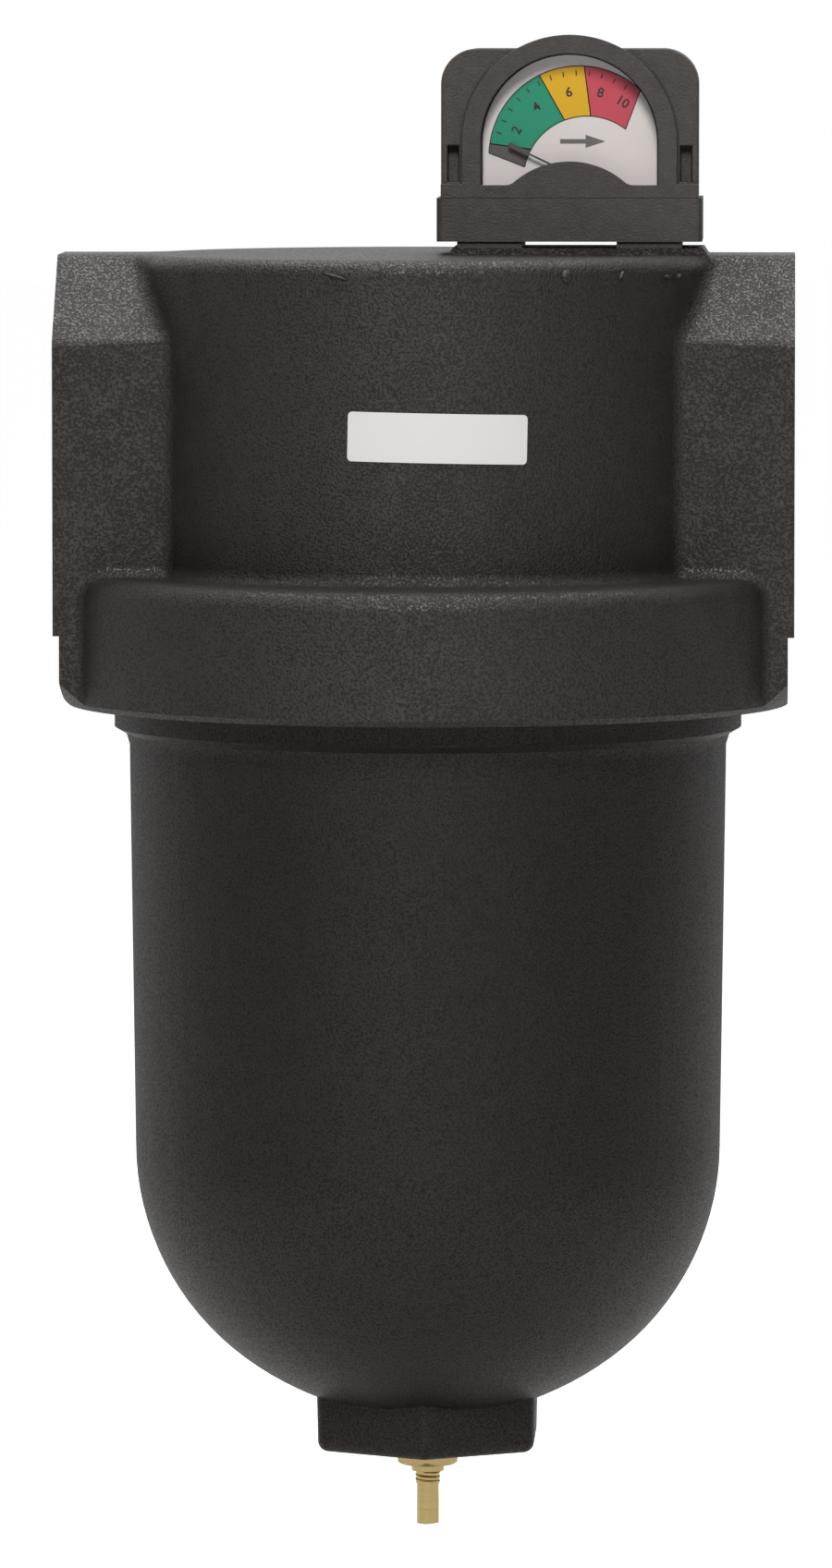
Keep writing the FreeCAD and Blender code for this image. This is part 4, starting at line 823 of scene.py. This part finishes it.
class AIRFILTER_OT_drain(bpy.types.Operator):
    """Make the turned brass drain body and stem"""

    bl_idname = "airfilter.drain"
    bl_label = "Drain"

    def execute(self, context):
        body = welded_copy("drain_body", "brass_drain_body", "brass")
        self.turn_corners(body)
        round_edges(body, 0.1 * MM)
        put_on(body, "bowl", "drain_brass", "drain_body")
        stem = welded_copy("drain_stem", "brass_drain_stem", "brass", cut_height=STEM_CUT)
        for point in stem.data.vertices:
            across = math.hypot(point.co.x - AXIS_X, point.co.y)
            if point.co.z < STEM_CUT + NEAR and across > STEM_CORE:
                point.co.x = AXIS_X + (point.co.x - AXIS_X) * STEM_CORE / across
                point.co.y *= STEM_CORE / across
        stem.data.transform(shift(AXIS_X, 0, 0) @ turn(45, "Z") @ shift(-AXIS_X, 0, 0))
        round_edges(stem, 0.12 * MM)
        put_on(stem, "drain_stem", "drain_brass", "drain_stem")
        return {"FINISHED"}

    def turn_corners(self, body):
        """Cut the hexagon's lower corners on a cone, as a lathe does before the flats."""
        spots = [(math.hypot(v.co.x - AXIS_X, v.co.y), v.co.z) for v in body.data.vertices]
        corner = max(radius for radius, z in spots if z < BOWL_LOW.z)
        flat = corner * math.cos(math.radians(30))
        low = min(z for radius, z in spots if radius > flat)
        high = low + (corner - flat + CONE_REACH) * math.tan(CONE_RISE)
        rows = ((corner + MM, CONE_TOP), (corner + MM, high), (corner, high),
                (flat - CONE_REACH, low), (flat - CONE_REACH, BRASS_LOW.z - MM))
        turns = [2 * math.pi * i / CONE_STEPS for i in range(CONE_STEPS)]
        made = bmesh.new()
        rings = [[made.verts.new((AXIS_X + radius * math.cos(a), radius * math.sin(a), z))
                  for a in turns] for radius, z in rows]
        for upper, lower in zip(rings, rings[1:]):
            for i in range(CONE_STEPS):
                made.faces.new((upper[i - 1], upper[i], lower[i], lower[i - 1]))
        made.faces.new(rings[0])
        made.faces.new(rings[-1][::-1])
        bmesh.ops.recalc_face_normals(made, faces=made.faces[:])
        cone = add_piece("cone", mesh_of(made, "cone"))
        adjust(body.modifiers.new("cone", "BOOLEAN"), operation="INTERSECT", object=cone)
        bake_modifiers(body)
        bpy.data.objects.remove(cone)
        shade_by_angle(body.data)


# the gauge, in mm from the world origin

WINDOW_ARC = ((114.6, 57.6), 19.75)
FRAME_RADIUS = 24.0
# the painted shade strip round the window frame: its foot, its top and how far it spreads past the
# frame
SEAM_SHADE_FOOT, SEAM_SHADE_TOP = 46.4, 73.5
SEAM_SHADE_SPREAD = 1.022


class AIRFILTER_OT_gauge_case(bpy.types.Operator):
    """Make the moulded base, housing, window frame and clear window"""

    bl_idname = "airfilter.gauge_case"
    bl_label = "Gauge case"

    def execute(self, context):
        for node, width in (("gauge_base", 0.5), ("gauge_housing", 0.45),
                            ("gauge_window_frame", 0.6), ("gauge_end_plug", 0.15)):
            made = welded_copy(node, "moulded_" + node, "case")
            round_edges(made, width * MM)
            put_on(made, "head", "gauge_plastic", node)
        paint_nodes("lens", "gauge_lens")
        self.paint_seam_shade()
        return {"FINISHED"}

    def paint_seam_shade(self):
        """A dark strip painted on the housing as the shade in the gap where the window frame is
        clipped in.
        """
        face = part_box("gauge_housing")[0].y - 0.01 * MM
        (x, z), _ = WINDOW_ARC
        steep = math.degrees(math.asin((SEAM_SHADE_TOP - z) / FRAME_RADIUS))
        sides = []
        for foot, first, last in ((x - FRAME_RADIUS, 180, 180 - steep),
                                  (x + FRAME_RADIUS, 0, steep)):
            row = [(foot, SEAM_SHADE_FOOT), *arc_points((x, z), FRAME_RADIUS, first, last, 16)]
            wide = [(x + (a - x) * SEAM_SHADE_SPREAD, z + max(b - z, 0) * SEAM_SHADE_SPREAD + min(b - z, 0))
                    for a, b in row]
            # painted shade: the strip takes the rubber's black, though no rubber part lies there
            sides.append(flat_strip(row, wide, face, "rubber"))
        put_on(joined("frame_seam", sides), "head", "gauge_plastic")


# the dial's print, in mm and degrees, placed from the world origin
OUTER_ARC = ((116.63, 54.5), 20.13)
INNER_ARC = ((118.38, 49.25), 14.18)
ZONES = (("grey", 178.1, 172.1, 168.6, 151.5), ("green", 172.1, 116.3, 151.5, 110.6),
         ("yellow", 116.3, 86.7, 110.6, 86.5), ("red", 86.7, 47.0, 86.5, 52.4))
ARROW_START, ARROW_NECK, ARROW_TIP, ARROW_LEVEL = 112.4, 118.1, 122.6, 57.78
ARROW_HALF, ARROW_HEAD_HALF = 0.52, 1.46
LINE_HALF = 0.13
WINDOW_FOOT = 48.0
# half width of the black ring along the window's edge: the seal's black and painted shade of the
# frame's inner lip
SEAL_AND_SHADE_HALF = 0.3
NUMBER_ARC = ((117.6, 52.0), 17.0)
NUMBERS = (("2", 151), ("4", 128), ("6", 101), ("8", 77), ("10", 59))
NUMBER_SIZE = 3.0
NUMBER_BOLD = 0.07
MARK_COUNT, MARK_INSET, MARK_ARC = 13, 1.6, (56, 164)
MARK_BAR = (1.2 * MM, 0.28 * MM, 0.02 * MM)
# how far each print stands before the dial, so that none lies in another's plane
ZONE_Y, SEAL_AND_SHADE_Y, LINE_Y, NUMBER_Y, MARK_Y = (
    DIAL_FACE - lift * MM for lift in (0.02, 0.03, 0.035, 0.04, 0.05))
# the pointer's half widths along its arm, in mm
POINTER_ARM = ((0.0, 0.3), (17.2, 0.22), (17.7, 0.55), (22.2, 0.55), (22.45, 0.35))
POINTER_THICK = 0.5 * MM
POINTER_ANGLE = 154.5
PIVOT_INSET = 2.0 * MM
HUB_RADIUS, HUB_DEPTH = 1.95 * MM, 1.1 * MM


class AIRFILTER_OT_dial(bpy.types.Operator):
    """Print the dial with its zones, marks, numbers and arrow, and finish the pointer"""

    bl_idname = "airfilter.dial"
    bl_label = "Dial"

    def execute(self, context):
        paint_nodes("dial", "dial_plate")
        paint_nodes("steel", "pointer_axle")
        sheets, lines = [], []
        for zone, outer_from, outer_to, inner_from, inner_to in ZONES:
            outer = arc_points(*OUTER_ARC, outer_from, outer_to, 24)
            inner = arc_points(*INNER_ARC, inner_from, inner_to, 24)
            sheets.append(flat_strip(outer, inner, ZONE_Y, zone))
            for edge in (outer, inner, (outer[0], inner[0]), (outer[-1], inner[-1])):
                lines.append(self.line(edge, LINE_Y, LINE_HALF))
        self.print_on("dial_zones", sheets)
        # the seal's black and painted shade of the frame's inner lip, printed as one ring along
        # the window's edge
        lines.append(self.line(self.window_edge(), SEAL_AND_SHADE_Y, SEAL_AND_SHADE_HALF))
        self.print_on("dial_lines", lines)
        self.make_arrow()
        self.make_marks()
        self.make_numbers()
        self.make_pointer()
        return {"FINISHED"}

    def print_on(self, name, meshes):
        """One print on the dial from its meshes."""
        put_on(joined(name, meshes), "head", "dial_white")

    def window_edge(self):
        """The edge of what the window shows: two legs and an arch."""
        (x, z), radius = WINDOW_ARC
        return [(x - radius, WINDOW_FOOT), *arc_points((x, z), radius, 180, 0, 49),
                (x + radius, WINDOW_FOOT)]

    def line(self, spots, y, half):
        """A thin printed line along a row of points, of a given half width in mm."""
        spots = [Vector(spot) for spot in spots]
        left, right = [], []
        for i, spot in enumerate(spots):
            way = (spots[min(i + 1, len(spots) - 1)] - spots[max(i - 1, 0)]).normalized()
            side = Vector((-way.y, way.x)) * half
            left.append(spot + side)
            right.append(spot - side)
        return flat_strip(left, right, y, "ink")

    def make_arrow(self):
        """The flow arrow on the dial: a strip and a triangle."""
        rows = [[(x, ARROW_LEVEL + half) for x in (ARROW_START, ARROW_NECK)]
                for half in (ARROW_HALF, -ARROW_HALF)]
        shaft = flat_strip(*rows, ZONE_Y, "arrow")
        spots = ((ARROW_NECK, ARROW_HEAD_HALF), (ARROW_TIP, 0), (ARROW_NECK, -ARROW_HEAD_HALF))
        tip = mesh_from("tip", [(x * MM, ZONE_Y, (ARROW_LEVEL + up) * MM) for x, up in spots],
                        [(0, 1, 2)], MATERIALS["arrow"])
        face_front(tip)
        self.print_on("dial_arrow", [shaft, tip])

    def make_marks(self):
        """Plain marks inside the outer arc."""
        (x, z), radius = OUTER_ARC
        start, end = (math.radians(degrees) for degrees in MARK_ARC)
        marks = grow("dial_marks", marks_tree(), shift(x * MM, MARK_Y, z * MM) @ turn(90, "X"),
                     count=MARK_COUNT, radius=(radius - MARK_INSET) * MM, start=start,
                     sweep=end - start, bar=MARK_BAR, material=MATERIALS["ink"])
        put_on(marks, "head", "dial_white")

    def make_numbers(self):
        """Plain numbers along the middle of the zones."""
        meshes = []
        for text, degrees in NUMBERS:
            curve = adjust(bpy.data.curves.new("number", "FONT"), body=text,
                           size=NUMBER_SIZE * MM, offset=NUMBER_BOLD * MM, align_x="CENTER",
                           align_y="CENTER", resolution_u=3)
            holder = bpy.data.objects.new("number", curve)
            mesh = bpy.data.meshes.new_from_object(holder)
            bpy.data.objects.remove(holder)
            (x, z), _ = arc_points(*NUMBER_ARC, degrees, degrees, 2)
            mesh.transform(shift(x * MM, NUMBER_Y, z * MM) @ turn(90, "X")
                           @ turn(degrees - 90, "Z"))
            mesh.materials.clear()
            mesh.materials.append(MATERIALS["ink"])
            face_front(mesh)
            meshes.append(mesh)
        self.print_on("dial_numbers", meshes)

    def make_pointer(self):
        """The pointer: a thin arm that widens to a flag, on a round hub."""
        outline = [*POINTER_ARM, *[(along, -half) for along, half in reversed(POINTER_ARM)]]
        made = bmesh.new()
        flat = made.faces.new([made.verts.new((a * MM, 0, w * MM)) for a, w in outline])
        lifted = bmesh.ops.extrude_face_region(made, geom=[flat])
        moved = [part for part in lifted["geom"] if isinstance(part, bmesh.types.BMVert)]
        bmesh.ops.translate(made, verts=moved, vec=(0, POINTER_THICK, 0))
        bmesh.ops.recalc_face_normals(made, faces=made.faces[:])
        bmesh.ops.create_cone(made, cap_ends=True, segments=40, radius1=HUB_RADIUS,
                              radius2=HUB_RADIUS, depth=HUB_DEPTH,
                              matrix=shift(0, POINTER_THICK / 2, 0) @ turn(90, "X"))
        mesh = mesh_of(made, "gauge_pointer", MATERIALS["pointer"])
        shade_by_angle(mesh)
        low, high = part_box("pointer")
        mesh.transform(shift(high.x - PIVOT_INSET, (low.y + high.y - POINTER_THICK) / 2,
                             low.z + PIVOT_INSET) @ turn(-POINTER_ANGLE, "Y"))
        pointer = add_piece("gauge_pointer", mesh)
        round_edges(pointer, 0.06 * MM)
        put_on(pointer, "pointer", "pointer_plastic", "pointer")


# the label's corner radius, the height of its middle, its thickness and its gap to the coat
LABEL_CORNER, LABEL_LEVEL, LABEL_FILM, LABEL_GAP = 1.0 * MM, -6.4 * MM, 0.12 * MM, 0.04 * MM


class AIRFILTER_OT_label(bpy.types.Operator):
    """Stick the bare white label on the neck"""

    bl_idname = "airfilter.label"
    bl_label = "Label"

    def execute(self, context):
        sizes = context.scene.filter_sizes
        middle = (sizes.label_start + sizes.label_end) / 2
        reach = (sizes.label_end - sizes.label_start) * NECK_RADIUS / 2 - LABEL_CORNER
        radius = NECK_RADIUS + LABEL_GAP
        cosine, sine = math.cos(sizes.label_tilt), math.sin(sizes.label_tilt)
        ends = [reach + LABEL_CORNER * math.cos(math.radians(15 * i)) for i in range(7)]
        flat = [reach * (i / 12 - 1) for i in range(1, 24)]
        columns = [*[-across for across in ends], *flat, *reversed(ends)]
        points = []
        for across in columns:
            inset = max(0.0, abs(across) - reach)
            half = (sizes.label_height / 2 - LABEL_CORNER
                    + math.sqrt(max(0.0, LABEL_CORNER ** 2 - inset ** 2)))
            for up in (-half, 0.0, half):
                angle = middle + (across * cosine + up * sine) / NECK_RADIUS
                points.append((AXIS_X + radius * math.sin(angle), -radius * math.cos(angle),
                               LABEL_LEVEL + up * cosine - across * sine))
        faces = [(a, a + 3, a + 4, a + 1) for i in range(len(columns) - 1)
                 for a in (3 * i, 3 * i + 1)]
        label = add_piece("bare_label", mesh_from("bare_label", points, faces, MATERIALS["label"]))
        adjust(label.modifiers.new("film", "SOLIDIFY"), thickness=LABEL_FILM, offset=1)
        bake_modifiers(label)
        shade_by_angle(label.data)
        put_on(label, "head", "coated_casting")
        return {"FINISHED"}


class AIRFILTER_OT_inner_parts(bpy.types.Operator):
    """Finish the seals, the element, the fasteners and the gauge's works"""

    bl_idname = "airfilter.inner_parts"
    bl_label = "Inner parts"

    def execute(self, context):
        paint_nodes("rubber", "bowl_o_ring", "element_upper_gasket",
                    "element_lower_gasket", "drain_stem_o_ring", "gauge_inlet_o_ring",
                    "gauge_outlet_o_ring", "gauge_plug_o_ring")
        paint_nodes("nylon", "element_upper_cap", "element_lower_cap",
                    "element_inner_cage", "element_outer_cage")
        paint_nodes("foam", "element_foam_sleeve")
        paint_nodes("paper", "element_pleats")
        paint_nodes("steel", "tie_rod", "washer", "retaining_nut", "gauge_screws")
        paint_nodes("magnet", "pointer_magnet", "piston_magnet")
        paint_nodes("turned", "piston")
        self.make_spring()
        return {"FINISHED"}

    def make_spring(self):
        """The piston's spring, as a copy with a mesh of its own. In the real gauge it shortens
        towards the end plug as the piston moves.
        """
        spring = welded_copy("piston_spring", "coil_spring", "steel")
        put_on(spring, "head", "plated_steel", "piston_spring")
        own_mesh(spring)


OPERATORS = (AIRFILTER_OT_stage, AIRFILTER_OT_head, AIRFILTER_OT_bowl, AIRFILTER_OT_threads,
             AIRFILTER_OT_drain, AIRFILTER_OT_gauge_case, AIRFILTER_OT_dial,
             AIRFILTER_OT_label, AIRFILTER_OT_inner_parts)


class AIRFILTER_PT_panel(bpy.types.Panel):
    """The filter's operators and settings in the sidebar"""

    bl_idname = "AIRFILTER_PT_panel"
    bl_label = "Air filter"
    bl_space_type = "VIEW_3D"
    bl_region_type = "UI"
    bl_category = "Air filter"

    def draw(self, context):
        for operator in OPERATORS:
            self.layout.operator(operator.bl_idname)
        for group in (context.scene.filter_sizes, context.scene.filter_colours):
            column = self.layout.column()
            for name in group.bl_rna.properties.keys():
                if name not in ("rna_type", "name"):
                    column.prop(group, name)


CLASSES = (FilterSizes, FilterColours, *OPERATORS, AIRFILTER_PT_panel)


def register():
    for made in CLASSES:
        bpy.utils.register_class(made)
    bpy.types.Scene.filter_sizes = bpy.props.PointerProperty(type=FilterSizes)
    bpy.types.Scene.filter_colours = bpy.props.PointerProperty(type=FilterColours)


def unregister():
    del bpy.types.Scene.filter_sizes
    del bpy.types.Scene.filter_colours
    for made in reversed(CLASSES):
        bpy.utils.unregister_class(made)


def main():
    register()
    scene = bpy.context.scene
    make_materials(scene.filter_colours, scene.filter_sizes)
    for operator in OPERATORS:
        group, name = operator.bl_idname.split(".")
        getattr(getattr(bpy.ops, group), name)()


if __name__ == "__main__":
    main()
